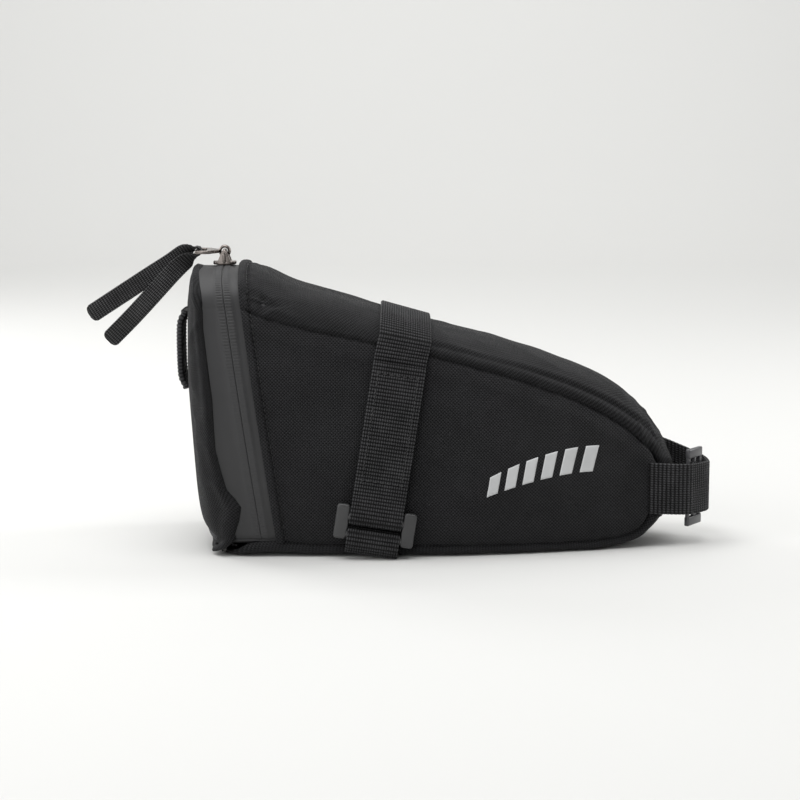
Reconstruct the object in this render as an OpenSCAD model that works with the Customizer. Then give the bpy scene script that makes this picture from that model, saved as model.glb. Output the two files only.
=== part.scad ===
// Wedge-shaped bicycle saddle bag with a zipped rear flap, a rail strap and a seatpost loop.
// +X points towards the seatpost, -Y is the side that shows, and the flat bottom lies on z = 0.

/* [Bag] */
// Greatest width across the two side panels
bag_w = 93; // [88:1:98]
// Width across the nose at the seatpost
nose_w = 36; // [30:1:42]
// Thickness of the woven outer panels
fabric_t = 1.2; // [0.8:0.1:1.3]
// Thickness of the foam boards behind the panels
foam_t = 2; // [1.5:0.1:2.5]

/* [Webbing] */
// Width of the rail strap and of the seatpost loop
web_w = 25; // [20:1:25]
// Thickness of the webbing
web_t = 1.4; // [1:0.1:1.5]
// Width of the light loop on the rear panel
light_loop_w = 20; // [15:1:25]

/* [Zip] */
// Width of each visible half of the zip tape at the front
tape_w = 7.5; // [6:0.5:8]
// Thickness of the laminated zip tape
tape_t = 0.9; // [0.6:0.1:1]
// Gap between the two halves of the zip
zip_gap = 1.2; // [1.1:0.1:1.6]

/* [Ring and buckle] */
// Outer width of the strap ring
ring_w = 38; // [36:1:42]
// Diameter of the ring's two cross bars
ring_bar_d = 3.5; // [3:0.1:3.6]
// Outer height of the seatpost buckle
buckle_h = 38; // [36:1:40]

/* [Hidden] */

clearance = 0.3;
lining_gap = 0.45;   // between the outer fabric and what lies behind it
half = bag_w / 2;
nose_x = 120;        // where the width reaches nose_w
taper_power = 1.6;   // how late the sides draw in towards the nose

// Side seam, as [x, share of the half width, z]: over the top, down the nose, back along the bottom.
SEAM = [[-88.5, 0.81, 117.6], [-78, 0.81, 113.2], [-60, 0.81, 108.3], [-26.5, 0.81, 100.8],
        [20, 0.81, 90], [63, 0.81, 75.8], [86, 0.81, 64.6], [102.8, 0.82, 52.1], [111.5, 0.84, 41],
        [111.2, 0.95, 29],
        [108, 0.94, 16.9], [101, 0.94, 8], [86, 0.94, 4.8], [64, 0.94, 4.4], [30, 0.94, 4.6],
        [-8, 0.94, 5], [-42, 0.94, 5.2], [-62, 0.94, 6], [-72, 0.94, 7], [-84, 0.94, 6.2],
        [-91, 0.91, 3], [-96.5, 0.86, 1.9]];
// Middle line of the gusset, one point for each seam point.
CROWN = [[-91, 0, 136.6], [-79, 0, 134.4], [-62, 0, 127.3], [-27, 0, 116.4],
         [17, 0, 104.6], [62, 0, 90.8], [91.3, 0, 77.8], [109.4, 0, 60.4], [118, 0, 46.5],
         [121.8, 0, 30],
         [114.5, 0, 13.2], [103, 0, 3.4], [86, 0, 0], [64, 0, 0], [30, 0, 0],
         [-8, 0, 0], [-42, 0, 0], [-62, 0, 0], [-72, 0, 0], [-84, 0, 0],
         [-91, 0, 0.2], [-96.5, 0, 1]];
nose_low = 10;       // the gusset's two panels meet at this seam point, low on the nose
mouth_low = 18;      // the side panel's lower rear corner
// How square the gusset's cross-section is, by seam point
SQUARENESS = [[0, 2.3], [8, 2.3], [11, 4], [13, 6], [21, 6]];

// Zip plane
zip_foot_x = -79.5;
zip_foot_z = 10.5;
zip_lean = 0.152;
mouth_low_z = 7;
mouth_seam_z = 117.6;
mouth_top_z = 136.6;
flap_edge = 9.5;     // from the zip to the flap's fabric edge
flap_low_z = 1.8;
flap_top = 2.3;      // squareness of the flap's top edge
flap_dome = 3.2;     // squareness of its cross-section
tape_inset = fabric_t + 0.4;
coil_w = 2.6;
coil_t = 1.4;

// Rail strap
strap_foot_x = -27.5;
strap_tilt = 8.8;
strap_seam_z = 97.2;
strap_crown_z = 112;
tail_top_z = 92;
ring_y = -(half + 2.7);
ring_low = 10.3;     // heights of its two cross bars, up along the strap
ring_high = 18.5;
ring_mid = 16;       // and of the middle of its two side bars
ring_h = 16.5;
ring_bar_r = ring_bar_d / 2;
ring_side_w = 6.2;
ring_t = 3.6;

// Slider and pull
slider_z = mouth_top_z - tape_inset;
bridge_x = zip_x(mouth_top_z);
bridge_z = 142.2;
bridge_r = 1.1;
tab_l = 13.5;
tab_t = 1.4;
ribbon_w = 9;
ribbon_t = 0.9;

// Seatpost loop, inner face, as [x, y, z of its middle]
LOOP = [[107.5, -22.6, 29], [118, -22, 28.4], [126, -19.5, 27.9], [129.5, -15.5, 27.5],
        [136.5, -5.5, 26.9], [138.2, 1, 26.8], [136.5, 9, 27.8], [129, 17.5, 30.6],
        [119, 21.6, 34.4], [107.5, 22.6, 38]];
buckle_turn = atan2(10, 7);
buckle_mid = [133, -10.5, 27.4];
buckle_w = 14;
buckle_bar = 2.2;
buckle_bar_t = 1.6;
sewn_end_t = 0.9;
sewn_end_r = 1.5;
// From the webbing's inner face to the buckle's middle
buckle_y = clearance + 0.1 + sewn_end_r + sewn_end_t;

// --- Curves and grids ---
function mix(a, b, t) = a + (b - a) * t;
function unit(v) = v / max(norm(v), 0.000001);
function half_w(x) = half - (half - nose_w / 2) * pow(max(x, 0) / nose_x, taper_power);

// A smooth curve through the points p; t counts the points from 0.
function smooth(p, t) =
    let(last = len(p) - 1, i = min(floor(t), last - 1), f = t - i,
        a = p[max(i - 1, 0)], b = p[i], c = p[i + 1], d = p[min(i + 2, last)])
    0.5 * (2 * b + (c - a) * f + (2 * a - 5 * b + 4 * c - d) * f * f + (3 * b - a - 3 * c + d) * f * f * f);

function steps(low, high, count) = [for (i = [0:count]) mix(low, high, i / count)];

// A squared-off arc: [sideways, up] for an angle of -90 to 90 degrees.
function arc_across(a, n) = sign(a) * pow(abs(sin(a)), 2 / n);
function arc_up(a, n) = pow(cos(a), 2 / n);

// A point of the near side panel: u along the bag, s from the bottom seam to the top one.
function side_point(u, s) =
    let(low = smooth(SEAM, mouth_low - u), top = smooth(SEAM, u), p = mix(low, top, s))
    [p.x, -(p.y + 0.1 * sin(180 * s)) * half_w(p.x), p.z];
function side_grid(u_list, s_list) = [for (s = s_list) [for (u = u_list) side_point(u, s)]];

// A point of the gusset: k along the seam, a across it.
function gusset_point(k, a) =
    let(seam = smooth(SEAM, k), crown = smooth(CROWN, k), n = lookup(k, SQUARENESS),
        up = arc_up(a, n))
    [mix(seam.x, crown.x, up), arc_across(a, n) * seam.y * half_w(seam.x),
     max(0, mix(seam.z, crown.z, up))];
function gusset_grid(k_list, a_list) = [for (k = k_list) [for (a = a_list) gusset_point(k, a)]];

function zip_x(z) = zip_foot_x - zip_lean * (z - zip_foot_z);
// Half width of the mouth at a height
function mouth_y(z) =
    let(s = (z - mouth_low_z) / (mouth_seam_z - mouth_low_z))
    z > mouth_seam_z ? 0.81 * half
    : s < 0 ? 0.94 * half - 0.2 * pow(mouth_low_z - z, 2)
    : (mix(0.94, 0.81, s) + 0.1 * sin(180 * s)) * half;
// The mouth's outline as [y, z], up the near side, over the top and down the far side
side_heights = steps(10, mouth_seam_z, 6);
hoop = concat([for (z = side_heights) [-mouth_y(z), z]],
              [for (a = [-75:15:75]) [0.81 * half * arc_across(a, 2.3),
                                      mix(mouth_seam_z, mouth_top_z, arc_up(a, 2.3))]],
              [for (i = [6:-1:0]) [mouth_y(side_heights[i]), side_heights[i]]]);
// A strip along the zip between two distances from its middle line
function hoop_grid(low, high) = [for (p = hoop) [for (d = [low, high]) [zip_x(p[1]) + d, p[0], p[1]]]];

// A point of the flap: a across it and b up it.
function flap_point(a, b) =
    let(across = arc_across(a, flap_dome), rise = 0.5 + 0.5 * arc_across(b, 8),
        top = mix(mouth_seam_z, mouth_top_z, pow(1 - pow(abs(across), flap_top), 1 / flap_top)),
        z = mix(flap_low_z, top, rise),
        depth = (21 - 14 * pow(z / mouth_top_z, 2)) * arc_up(a, flap_dome) * arc_up(b, 8),
        foot = 10 * pow(max(0, 10 - z) / 8, 2))
    [zip_x(z) - flap_edge - foot - depth * (1 - foot / 22), across * mouth_y(z), z];
function flap_grid(a_list, b_list) = [for (b = b_list) [for (a = a_list) flap_point(a, b)]];

function normal_at(g, i, j) =
    unit(cross(g[min(i + 1, len(g) - 1)][j] - g[max(i - 1, 0)][j],
               g[i][min(j + 1, len(g[0]) - 1)] - g[i][max(j - 1, 0)]));
function inset(g, d) =
    [for (i = [0:len(g) - 1]) [for (j = [0:len(g[0]) - 1]) g[i][j] + d * normal_at(g, i, j)]];

// A closed sheet of thickness t behind the grid g
module sheet(g, t) {
    rows = len(g);
    cols = len(g[0]);
    back = rows * cols;
    points = concat([for (row = g) each row], [for (row = inset(g, t)) each row]);
    front_faces = [for (i = [0:rows - 2], j = [0:cols - 2]) let(a = i * cols + j, b = a + cols)
        each [[a, b, b + 1], [a, b + 1, a + 1]]];
    back_faces = [for (f = front_faces) [f[0] + back, f[2] + back, f[1] + back]];
    ring = concat([for (j = [0:cols - 1]) j], [for (i = [1:rows - 1]) i * cols + cols - 1],
                  [for (j = [cols - 2:-1:0]) (rows - 1) * cols + j],
                  [for (i = [rows - 2:-1:1]) i * cols]);
    edge_faces = [for (k = [0:len(ring) - 1]) let(a = ring[k], b = ring[(k + 1) % len(ring)])
        each [[a, b, b + back], [a, b + back, a + back]]];
    polyhedron(points, concat(front_faces, back_faces, edge_faces));
}

// Webbing whose inner face follows the points p, with its width along the directions e
module band(p, e, w, t) {
    last = len(p) - 1;
    g = [for (i = [0:last]) [p[i] + e[i] * w / 2, p[i] - e[i] * w / 2]];
    sheet(g, t);
}

// Places the rail strap's own frame: +X across the webbing, +Z up along it.
module strap_frame() {
    translate([strap_foot_x, 0, 0]) rotate([0, strap_tilt, 0]) children();
}

// A flat strip through the points p of the YZ plane, thickness to the left of the way it runs
module strip(p, w, t) {
    last = len(p) - 1;
    n = [for (i = [0:last]) let(d = unit(p[min(i + 1, last)] - p[max(i - 1, 0)])) [-d[1], d[0]]];
    rotate([90, 0, 90])
    linear_extrude(w, center = true)
    polygon(concat(p, [for (i = [last:-1:0]) p[i] + n[i] * t]));
}

// --- Panels ---
fabric_color = [0.15, 0.15, 0.155];
lining_color = [0.22, 0.22, 0.23];
web_color = [0.1, 0.1, 0.1];
u_all = steps(0, 8, 24);

module side_panel_near() {
    color(fabric_color) sheet(side_grid(u_all, steps(0.004, 0.996, 6)), fabric_t);
}

module side_panel_far() {
    mirror([0, 1, 0]) side_panel_near();
}

module top_panel() {
    color(fabric_color)
    sheet(gusset_grid(steps(0, nose_low, 34), steps(88, -88, 12)), fabric_t);
}

module bottom_panel() {
    color(fabric_color)
    sheet(gusset_grid(steps(nose_low + 0.02, 21, 22), steps(88, -88, 12)), fabric_t);
}

module side_stiffener_near() {
    color(lining_color)
    sheet(inset(side_grid(steps(0.7, 7.3, 12), steps(0.06, 0.94, 5)), fabric_t + lining_gap), foam_t);
}

module side_stiffener_far() {
    mirror([0, 1, 0]) side_stiffener_near();
}

module bottom_stiffener() {
    color(lining_color)
    sheet(inset(gusset_grid(steps(12, 17.6, 8), steps(50, -50, 6)), fabric_t + lining_gap), foam_t);
}

// Tape sewn over the raw edges of the side seam, inside the bag
binding_t = 0.8;

module seam_tape_near() {
    color(lining_color)
    sheet(inset(gusset_grid(steps(0.8, 17.2, 32), [-70, -82]), fabric_t + lining_gap), binding_t);
}

module seam_tape_far() {
    mirror([0, 1, 0]) seam_tape_near();
}

// --- Zip ---
zip_half_gap = zip_gap / 2;
front_lap = 2;       // how far each tape runs on under the fabric
rear_lap = 2.5;
coil_depth = tape_inset + tape_t + 0.1;

module zip_tape_front() {
    color([0.3, 0.3, 0.3])
    sheet(inset(hoop_grid(zip_half_gap, tape_w + front_lap), tape_inset), tape_t);
}

module zip_tape_rear() {
    color([0.3, 0.3, 0.3])
    sheet(inset(hoop_grid(-flap_edge - rear_lap, -zip_half_gap), tape_inset), tape_t);
}

module zip_coil_front() {
    color([0.06, 0.06, 0.06])
    sheet(inset(hoop_grid(zip_half_gap, zip_half_gap + coil_w), coil_depth), coil_t);
}

module zip_coil_rear() {
    color([0.06, 0.06, 0.06])
    sheet(inset(hoop_grid(-zip_half_gap - coil_w, -zip_half_gap), coil_depth), coil_t);
}

// One stop at each foot of the zip
module zip_stops() {
    stop = [2.6, 1.2, 2.6];
    stop_z = 7;
    stop_y = mouth_y(stop_z) - coil_depth - coil_t / 2;
    for (side = [-1, 1]) color([0.5, 0.5, 0.5])
        translate([zip_x(stop_z) + zip_half_gap, side * stop_y - stop.y / 2, stop_z])
        cube(stop);
}

// --- Rail strap ---
// Half width of the bag at a height under the rail strap
function strap_y(z) =
    let(s = (z - 5) / 94)
    (mix(0.94, 0.81, s) + 0.1 * sin(180 * s)) * half;
function strap_x(z) = strap_foot_x + z * tan(strap_tilt);
side_e = [cos(strap_tilt), 0, -sin(strap_tilt)];
crown_e = unit([1, 0, -0.28]);
strap_heights = [3.5, 20, 38, 56, 72, 86, 94];
strap_low_z = 22.3;  // lower end of the near side's inner layer
tape_heights = [38, 47, 56, 65, 74, 83];

module rail_strap() {
    far = [for (z = strap_heights) [strap_x(z), strap_y(z) + strap_gap, z]];
    over = [for (a = [70:-14:-70]) [strap_x(108), (0.81 * half + strap_gap) * arc_across(a, 2.3),
                                    mix(strap_seam_z, strap_crown_z + strap_gap, arc_up(a, 2.3))]];
    near = [for (i = [6:-1:1]) let(z = max(strap_heights[i], strap_low_z))
        [strap_x(z), -strap_y(z) - strap_gap, z]];
    e = concat([for (p = far) side_e],
               [for (a = [70:-14:-70]) unit(mix(side_e, crown_e, arc_up(a, 2.3)))],
               [for (p = near) side_e]);
    color(web_color) band(concat(far, over, near), -e, web_w, web_t);
}

// Bars of the ring, seen along the bar: the webbing's inner face goes round them at this radius.
wrap_r = ring_bar_r + clearance;
// How far each layer of the closed strap stands off the bag: webbing, loop tape, hook tape, tail
strap_gap = 0.8;
pile_t = 0.5;
loop_tape_gap = strap_gap + web_t + 0.25;
hook_tape_gap = loop_tape_gap + pile_t + clearance;
tail_gap = hook_tape_gap + pile_t + 0.05;

// Loop half of the hook-and-loop, sewn to the outside of the rail strap
module strap_loop_tape() {
    color([0.08, 0.08, 0.08])
    strap_frame()
    strip([for (h = tape_heights) [-strap_y(h) - loop_tape_gap, h]], web_w - 3, pile_t);
}

module strap_anchor_loop() {
    over = [for (a = [180:30:360]) [ring_y - wrap_r * cos(a), ring_low - wrap_r * sin(a)]];
    color(web_color)
    strap_frame()
    strip(concat([[ring_y + 2.4, 2.4], [ring_y + 2.1, 6]], over, [[ring_y - 1.9, 6.5], [ring_y + 1.8, 2.4]]),
          web_w, -web_t);
}

module strap_ring() {
    corner = 1.5;
    color([0.33, 0.33, 0.33])
    strap_frame() translate([0, ring_y, 0]) {
        for (h = [ring_low, ring_high])
            translate([0, 0, h]) rotate([0, 90, 0])
            cylinder(h = ring_w - 2 * corner, r = ring_bar_r, center = true, $fn = 48);
        for (side = [-1, 1])
            translate([side * (ring_w - ring_side_w) / 2, ring_t / 2, ring_mid]) rotate([90, 0, 0])
            linear_extrude(ring_t)
            polygon([for (c = [0:3], a = [0:30:90])
                let(sx = (c == 0 || c == 3) ? 1 : -1, sy = c < 2 ? 1 : -1)
                [sx * (ring_side_w / 2 - corner) + corner * cos(a + 90 * c),
                 sy * (ring_h / 2 - corner) + corner * sin(a + 90 * c)]]);
    }
}

// Free end of the rail strap, folded up over the ring's upper bar
module rail_strap_tail() {
    under = [for (a = [0:30:180]) [ring_y + wrap_r * cos(a), ring_high - wrap_r * sin(a)]];
    up = [for (h = concat(tape_heights, [88, tail_top_z])) [-strap_y(h) - tail_gap, h]];
    color(web_color)
    strap_frame()
    strip(concat([[ring_y + wrap_r, ring_high + 0.5]], under, [[ring_y - wrap_r, ring_high + 3]], up),
          web_w, web_t);
}

// Hook half of the hook-and-loop, on the inner face of the tail
module strap_hook_tape() {
    color([0.08, 0.08, 0.08])
    strap_frame()
    strip([for (h = tape_heights) [-strap_y(h) - hook_tape_gap, h]], web_w - 3, pile_t);
}

// --- Seatpost loop ---
module seatpost_strap() {
    path = [for (t = [0:0.34:8.9]) smooth(LOOP, t)];
    color(web_color) band(path, [for (p = path) [0, 0, -1]], web_w, web_t);
}

// The buckle's own frame: +X along the webbing, +Y inwards from the webbing's inner face.
module buckle_place() {
    translate(buckle_mid) rotate([0, 0, buckle_turn]) children();
}

// Three-bar slide buckle, on the inner side of the webbing that covers it
module seatpost_buckle() {
    rim = 4.6;
    rim_t = 2.4;
    side_x = (buckle_w - buckle_bar) / 2;
    color([0.1, 0.1, 0.1])
    buckle_place() translate([0, buckle_y, 0]) {
        for (side = [-1, 1])
            translate([0, 0, side * (buckle_h - rim) / 2])
            cube([buckle_w, rim_t, rim], center = true);
        for (x = [-side_x, 0, side_x])
            translate([x, 0, 0])
            cube([buckle_bar, buckle_bar_t, buckle_h - rim], center = true);
    }
}

// Sewn end of the webbing, folded round the buckle's middle bar
module buckle_loop() {
    length = 5;
    color(web_color)
    buckle_place()
    translate([0, buckle_y, 0])
    linear_extrude(web_w, center = true)
    difference() {
        strap_end(sewn_end_r + sewn_end_t, length);
        strap_end(sewn_end_r, length + 1);
    }
}

// Outline of a folded strap end with a round nose of radius r
module strap_end(r, length) {
    circle(r = r, $fn = 32);
    translate([-length, -r]) square([length, 2 * r]);
}

// --- Flap ---
b_mid = [-22, -7.5, -1.5, -0.15, 0, 0.15, 1.5, 7.5, 22];

module rear_panel() {
    color(fabric_color)
    sheet(flap_grid(steps(90, -90, 14), concat([-90, -75, -60, -42], b_mid, [42, 60, 75, 90])), fabric_t);
}

module rear_stiffener() {
    color(lining_color)
    sheet(inset(flap_grid(steps(62, -62, 8), concat([-58, -42], b_mid, [42, 56])), fabric_t + lining_gap),
          foam_t);
}

module light_loop() {
    stand = 4.4;
    z_list = [113.5, 111.5, 109, 105, 95, 85, 80.5, 78.2, 76.2];
    lift = [0.2, 1.2, 3.6, stand, stand, stand, 3.6, 1.2, 0.2];
    path = [for (i = [0:8]) let(p = flap_mid(z_list[i])) [p - lift[i] - 0.2, z_list[i]]];
    color(web_color)
    rotate([90, 0, 0])
    linear_extrude(light_loop_w, center = true)
    polygon(concat(path, [for (i = [8:-1:0]) path[i] - [web_t, 0]]));
}
// The flap's rearmost line at a height
function flap_mid(z) = zip_x(z) - flap_edge - (21 - 14 * pow(z / mouth_top_z, 2));

// --- Slider and pull ---
// The slider's two plates lie above and below the tapes, joined by a blade in the zip's gap.
module slider_plates() {
    plate_w = 11;
    plate_l = 9;
    plate_t = 1.2;
    post_t = 0.5;
    top_low = slider_z + 0.4;
    low_top = slider_z - tape_t - coil_t - 0.9;
    color([0.45, 0.43, 0.42])
    translate([bridge_x, 0, 0]) {
        translate([-plate_w / 2, -plate_l / 2, top_low]) cube([plate_w, plate_l, plate_t]);
        translate([-plate_w / 2, -plate_l / 2, low_top - plate_t]) cube([plate_w, plate_l, plate_t]);
        translate([-post_t / 2, -2, low_top - 0.5]) cube([post_t, 4, top_low - low_top + 1]);
    }
}

module slider_bridge() {
    reach = 3.4;
    foot = slider_z + 0.4 + 1.2;
    color([0.45, 0.43, 0.42])
    translate([bridge_x, 0, 0]) {
        translate([0, 0, bridge_z]) rotate([90, 0, 0])
            cylinder(h = 2 * reach, r = bridge_r, center = true, $fn = 32);
        for (side = [-1, 1])
            translate([-bridge_r, side * reach - bridge_r, foot])
            cube([2 * bridge_r, 2 * bridge_r, bridge_z - foot + bridge_r]);
    }
}

module pull_tab() {
    eye_r = 2.7;
    eye_w = 3;
    end_w = 13;
    side_w = (end_w - ribbon_w) / 2 - 0.4;
    bar_r = tab_t / 2;
    color([0.55, 0.53, 0.52])
    translate([bridge_x, 0, bridge_z]) {
        difference() {
            union() {
                rotate([90, 0, 0]) cylinder(h = eye_w, r = eye_r, center = true, $fn = 48);
                translate([-8, -eye_w / 2, -tab_t / 2]) cube([7, eye_w, tab_t]);
            }
            rotate([90, 0, 0]) cylinder(h = eye_w + 2, r = bridge_r + 0.3, center = true, $fn = 48);
        }
        translate([-8.6, -end_w / 2, -tab_t / 2]) cube([1.6, end_w, tab_t]);
        for (side = [-1, 1])
            translate([-tab_l, side * (end_w - side_w) / 2 - side_w / 2, -tab_t / 2])
            cube([tab_l - 7.8, side_w, tab_t]);
        translate([-tab_l, 0, 0]) rotate([90, 0, 0])
            cylinder(h = end_w, r = bar_r, center = true, $fn = 32);
    }
}

// Woven ribbon looped through the tab's end. Each tail turns by a quarter so that its face shows.
// Middle line of each tail, as [x, z, its turn in degrees]
UPPER_TAIL = [[-165.4, 110.6, -90], [-149.7, 120.8, -90], [-135.5, 130, -90], [-126, 136, -90],
              [-121.5, 139, -84], [-118, 141.2, -62], [-115.2, 142.7, -30]];
LOWER_TAIL = [[-115.4, 140.1, 30], [-118, 137.9, 62], [-121, 135, 84], [-125.5, 130.2, 90],
              [-133, 122, 90], [-144, 110.2, 90], [-156.1, 98.1, 90]];
tail_apart = 0.9;    // each tail's inner face, from the plane between the two

module pull_ribbon() {
    r = tab_t / 2 + clearance;
    turn_round = [for (a = [110:-30:-70]) [bridge_x - tab_l + r * cos(a), bridge_z + r * sin(a), 0]];
    line = concat(UPPER_TAIL, turn_round, LOWER_TAIL);
    last = len(line) - 1;
    run = [for (i = [0:last]) let(d = line[min(i + 1, last)] - line[max(i - 1, 0)]) unit([d.x, 0, d.y])];
    e = [for (i = [0:last]) -[0, cos(line[i].z), 0] - sin(line[i].z) * [-run[i].z, 0, run[i].x]];
    off = [for (i = [0:last]) abs(line[i].z) / 90 * tail_apart * cross(e[i], run[i])];
    color([0.16, 0.16, 0.16])
    band([for (i = [0:last]) [line[i].x, 0, line[i].y] + off[i]], e, ribbon_w, ribbon_t);
}

// --- Reflective print ---
module reflective_print() {
    low = [0.29, 0.55];
    high = [0.39, 0.73];
    g = [for (t = [0, 0.5, 1]) [for (f = [0:0.125:1])
        side_point(mix(4.05, 5.72, f), mix(mix(low[0], low[1], f), mix(high[0], high[1], f), t))]];
    color([0.78, 0.78, 0.78]) sheet(inset(g, -0.45), 0.3);
}

side_panel_near();
side_panel_far();
top_panel();
bottom_panel();
side_stiffener_near();
side_stiffener_far();
bottom_stiffener();
seam_tape_near();
seam_tape_far();
zip_tape_front();
zip_coil_front();
zip_stops();
rail_strap();
strap_loop_tape();
strap_anchor_loop();
seatpost_strap();
reflective_print();
rear_panel();
rear_stiffener();
zip_tape_rear();
zip_coil_rear();
light_loop();
slider_plates();
slider_bridge();
pull_tab();
pull_ribbon();
strap_ring();
rail_strap_tail();
strap_hook_tape();
seatpost_buckle();
buckle_loop();
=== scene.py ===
import math

import bmesh
import bpy
import numpy as np
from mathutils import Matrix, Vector, noise
from mathutils.bvhtree import BVHTree


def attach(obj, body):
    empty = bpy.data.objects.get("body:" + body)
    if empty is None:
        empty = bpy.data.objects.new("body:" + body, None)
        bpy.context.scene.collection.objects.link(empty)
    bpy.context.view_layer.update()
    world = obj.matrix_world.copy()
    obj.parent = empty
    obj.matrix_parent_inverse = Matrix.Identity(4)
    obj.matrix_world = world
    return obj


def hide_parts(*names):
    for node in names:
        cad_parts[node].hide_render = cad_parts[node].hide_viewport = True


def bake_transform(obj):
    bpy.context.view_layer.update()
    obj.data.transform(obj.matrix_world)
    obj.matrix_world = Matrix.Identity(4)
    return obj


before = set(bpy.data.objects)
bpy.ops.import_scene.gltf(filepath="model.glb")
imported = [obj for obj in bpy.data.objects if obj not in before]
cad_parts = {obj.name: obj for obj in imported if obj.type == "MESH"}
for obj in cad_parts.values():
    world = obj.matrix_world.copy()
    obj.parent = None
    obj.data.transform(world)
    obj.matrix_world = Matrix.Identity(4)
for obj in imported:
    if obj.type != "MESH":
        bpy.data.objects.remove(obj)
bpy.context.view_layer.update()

# Saddle bag: +X towards the seatpost, -Y the side that shows, z = 0 the flat bottom.
# Lengths in the dictionaries are millimetres; meshes are metres.
mm = 0.001
print("frame loaded:", len(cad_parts), "CAD nodes")


# small tools
def hexColour(text):
    # sRGB hex to the linear colour that the shader wants
    parts = [int(text[i:i + 2], 16) / 255 for i in (0, 2, 4)]
    return [c / 12.92 if c < 0.04045 else ((c + 0.055) / 1.055) ** 2.4 for c in parts] + [1.0]


def addNode(tree, kind, inputs=None, **settings):
    # one node with its settings, and its sockets filled with values or links
    node = tree.nodes.new(kind)
    for name, value in settings.items():
        setattr(node, name, value)
    for key, value in (inputs or {}).items():
        if hasattr(value, "is_output"):
            tree.links.new(value, node.inputs[key])
        else:
            node.inputs[key].default_value = value
    return node


def mix(a, b, t):
    return a + (b - a) * t


def bump(x, centre, width):
    return np.exp(-((x - centre) / width) ** 2)


def step(x, low, high):
    t = np.clip((x - low) / (high - low), 0, 1)
    return t * t * (3 - 2 * t)


def fold(points, scale, seed):
    # smooth noise from -1 to 1 at each point, on a real scale in mm for each axis
    flat = np.asarray(points, float).reshape(-1, 3)
    away = Vector((seed * 17.3, seed * 5.1, seed * 9.7))
    values = [noise.noise(Vector((p[0] / scale[0], p[1] / scale[1], p[2] / scale[2])) + away) for p in flat]
    return np.array(values).reshape(np.asarray(points).shape[:-1])


def smoothPath(points, t):
    # the curve through the points that the CAD also uses; t counts the points from 0
    p, t = np.asarray(points, float), np.asarray(t, float)
    last = len(p) - 1
    i = np.minimum(np.floor(t).astype(int), last - 1)
    f = (t - i)[..., None]
    a, b, c, d = p[np.maximum(i - 1, 0)], p[i], p[i + 1], p[np.minimum(i + 2, last)]
    return 0.5 * (2 * b + (c - a) * f + (2 * a - 5 * b + 4 * c - d) * f ** 2
                  + (3 * b - a - 3 * c + d) * f ** 3)


def pathLengths(p):
    return np.concatenate([[0], np.cumsum(np.linalg.norm(np.diff(p, axis=0), axis=1))])


def evenPath(points, spacing):
    # the polyline again with points that far apart, and the distance along it
    p = np.asarray(points, float)
    along = pathLengths(p)
    at = np.linspace(0, along[-1], max(3, int(math.ceil(along[-1] / spacing)) + 1))
    return np.stack([np.interp(at, along, p[:, k]) for k in range(p.shape[1])], axis=1), at


def unit(vectors):
    return vectors / np.maximum(np.linalg.norm(vectors, axis=-1, keepdims=True), 1e-9)


def gridNormals(grid):
    return unit(np.cross(np.gradient(grid, axis=0), np.gradient(grid, axis=1)))


def swollen(grid, swell, probe, way, normals=None):
    # the grid moved out by swell mm, out being the side that way points to at the probe
    out = gridNormals(grid) if normals is None else normals
    if np.dot(out[probe], way) < 0:
        out = -out
    return grid + out * swell[..., None]


def turnedOut(grid, probe, way, uv=None):
    # the grid with its faces pointing that way, and its uv where it has one already
    turned = np.dot(gridNormals(grid)[probe], way) < 0
    if turned:
        grid = grid[:, ::-1]
    if uv is None:
        return grid
    return grid, uv[:, ::-1] if turned else uv


def softened(normals, times):
    # evens out the directions where the grid's lines bunch up
    for _ in range(times):
        p = np.pad(normals, ((1, 1), (1, 1), (0, 0)), mode="edge")
        normals = p[:-2, 1:-1] + p[2:, 1:-1] + p[1:-1, :-2] + p[1:-1, 2:]
    return unit(normals)


def gridLengths(grid, axis):
    # distance along the grid's lines in one direction
    d = np.linalg.norm(np.diff(grid, axis=axis), axis=2)
    pad = [(0, 0), (0, 0)]
    pad[axis] = (1, 0)
    return np.pad(np.cumsum(d, axis=axis), pad)


def addObject(name, data):
    thing = bpy.data.objects.new(name, data)
    bpy.context.scene.collection.objects.link(thing)
    return thing


def assign(piece, body, node=None):
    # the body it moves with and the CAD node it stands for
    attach(piece, body)
    if node:
        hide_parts(node)
    return piece


def newPiece(name, points, faces, material, uv=None):
    # points in mm; uv is one pair for each point, in mm
    mesh = bpy.data.meshes.new(name)
    mesh.from_pydata((np.asarray(points, float) * mm).tolist(), [], faces)
    if uv is not None:
        layer = mesh.uv_layers.new(name="clothMm")
        loops = np.zeros(len(mesh.loops), np.int32)
        mesh.loops.foreach_get("vertex_index", loops)
        layer.data.foreach_set("uv", np.asarray(uv, np.float32)[loops].ravel())
    mesh.polygons.foreach_set("use_smooth", [True] * len(mesh.polygons))
    mesh.materials.append(material)
    mesh.update()
    return addObject(name, mesh)


def shellFaces(ids, back):
    # both faces of a sheet and its rim; the inner face's points come back places later
    quads = np.stack([ids[:-1, :-1], ids[1:, :-1], ids[1:, 1:], ids[:-1, 1:]], axis=-1).reshape(-1, 4)
    ring = np.concatenate([ids[:, 0], ids[-1, 1:], ids[-2::-1, -1], ids[0, -2:0:-1]])
    after = np.roll(ring, -1)
    rim = np.stack([after, ring, ring + back, after + back], axis=1)
    return np.concatenate([quads, quads[:, ::-1] + back, rim]).tolist()


def clothShell(name, grid, thickness, material, uv):
    # a closed sheet of cloth whose outer face is the grid
    rows, cols = grid.shape[:2]
    inner = grid - thickness * gridNormals(grid)
    faces = shellFaces(np.arange(rows * cols).reshape(rows, cols), rows * cols)
    points = np.concatenate([grid.reshape(-1, 3), inner.reshape(-1, 3)])
    flat = np.asarray(uv).reshape(-1, 2)
    return newPiece(name, points, faces, material, np.concatenate([flat, flat]))


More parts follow.
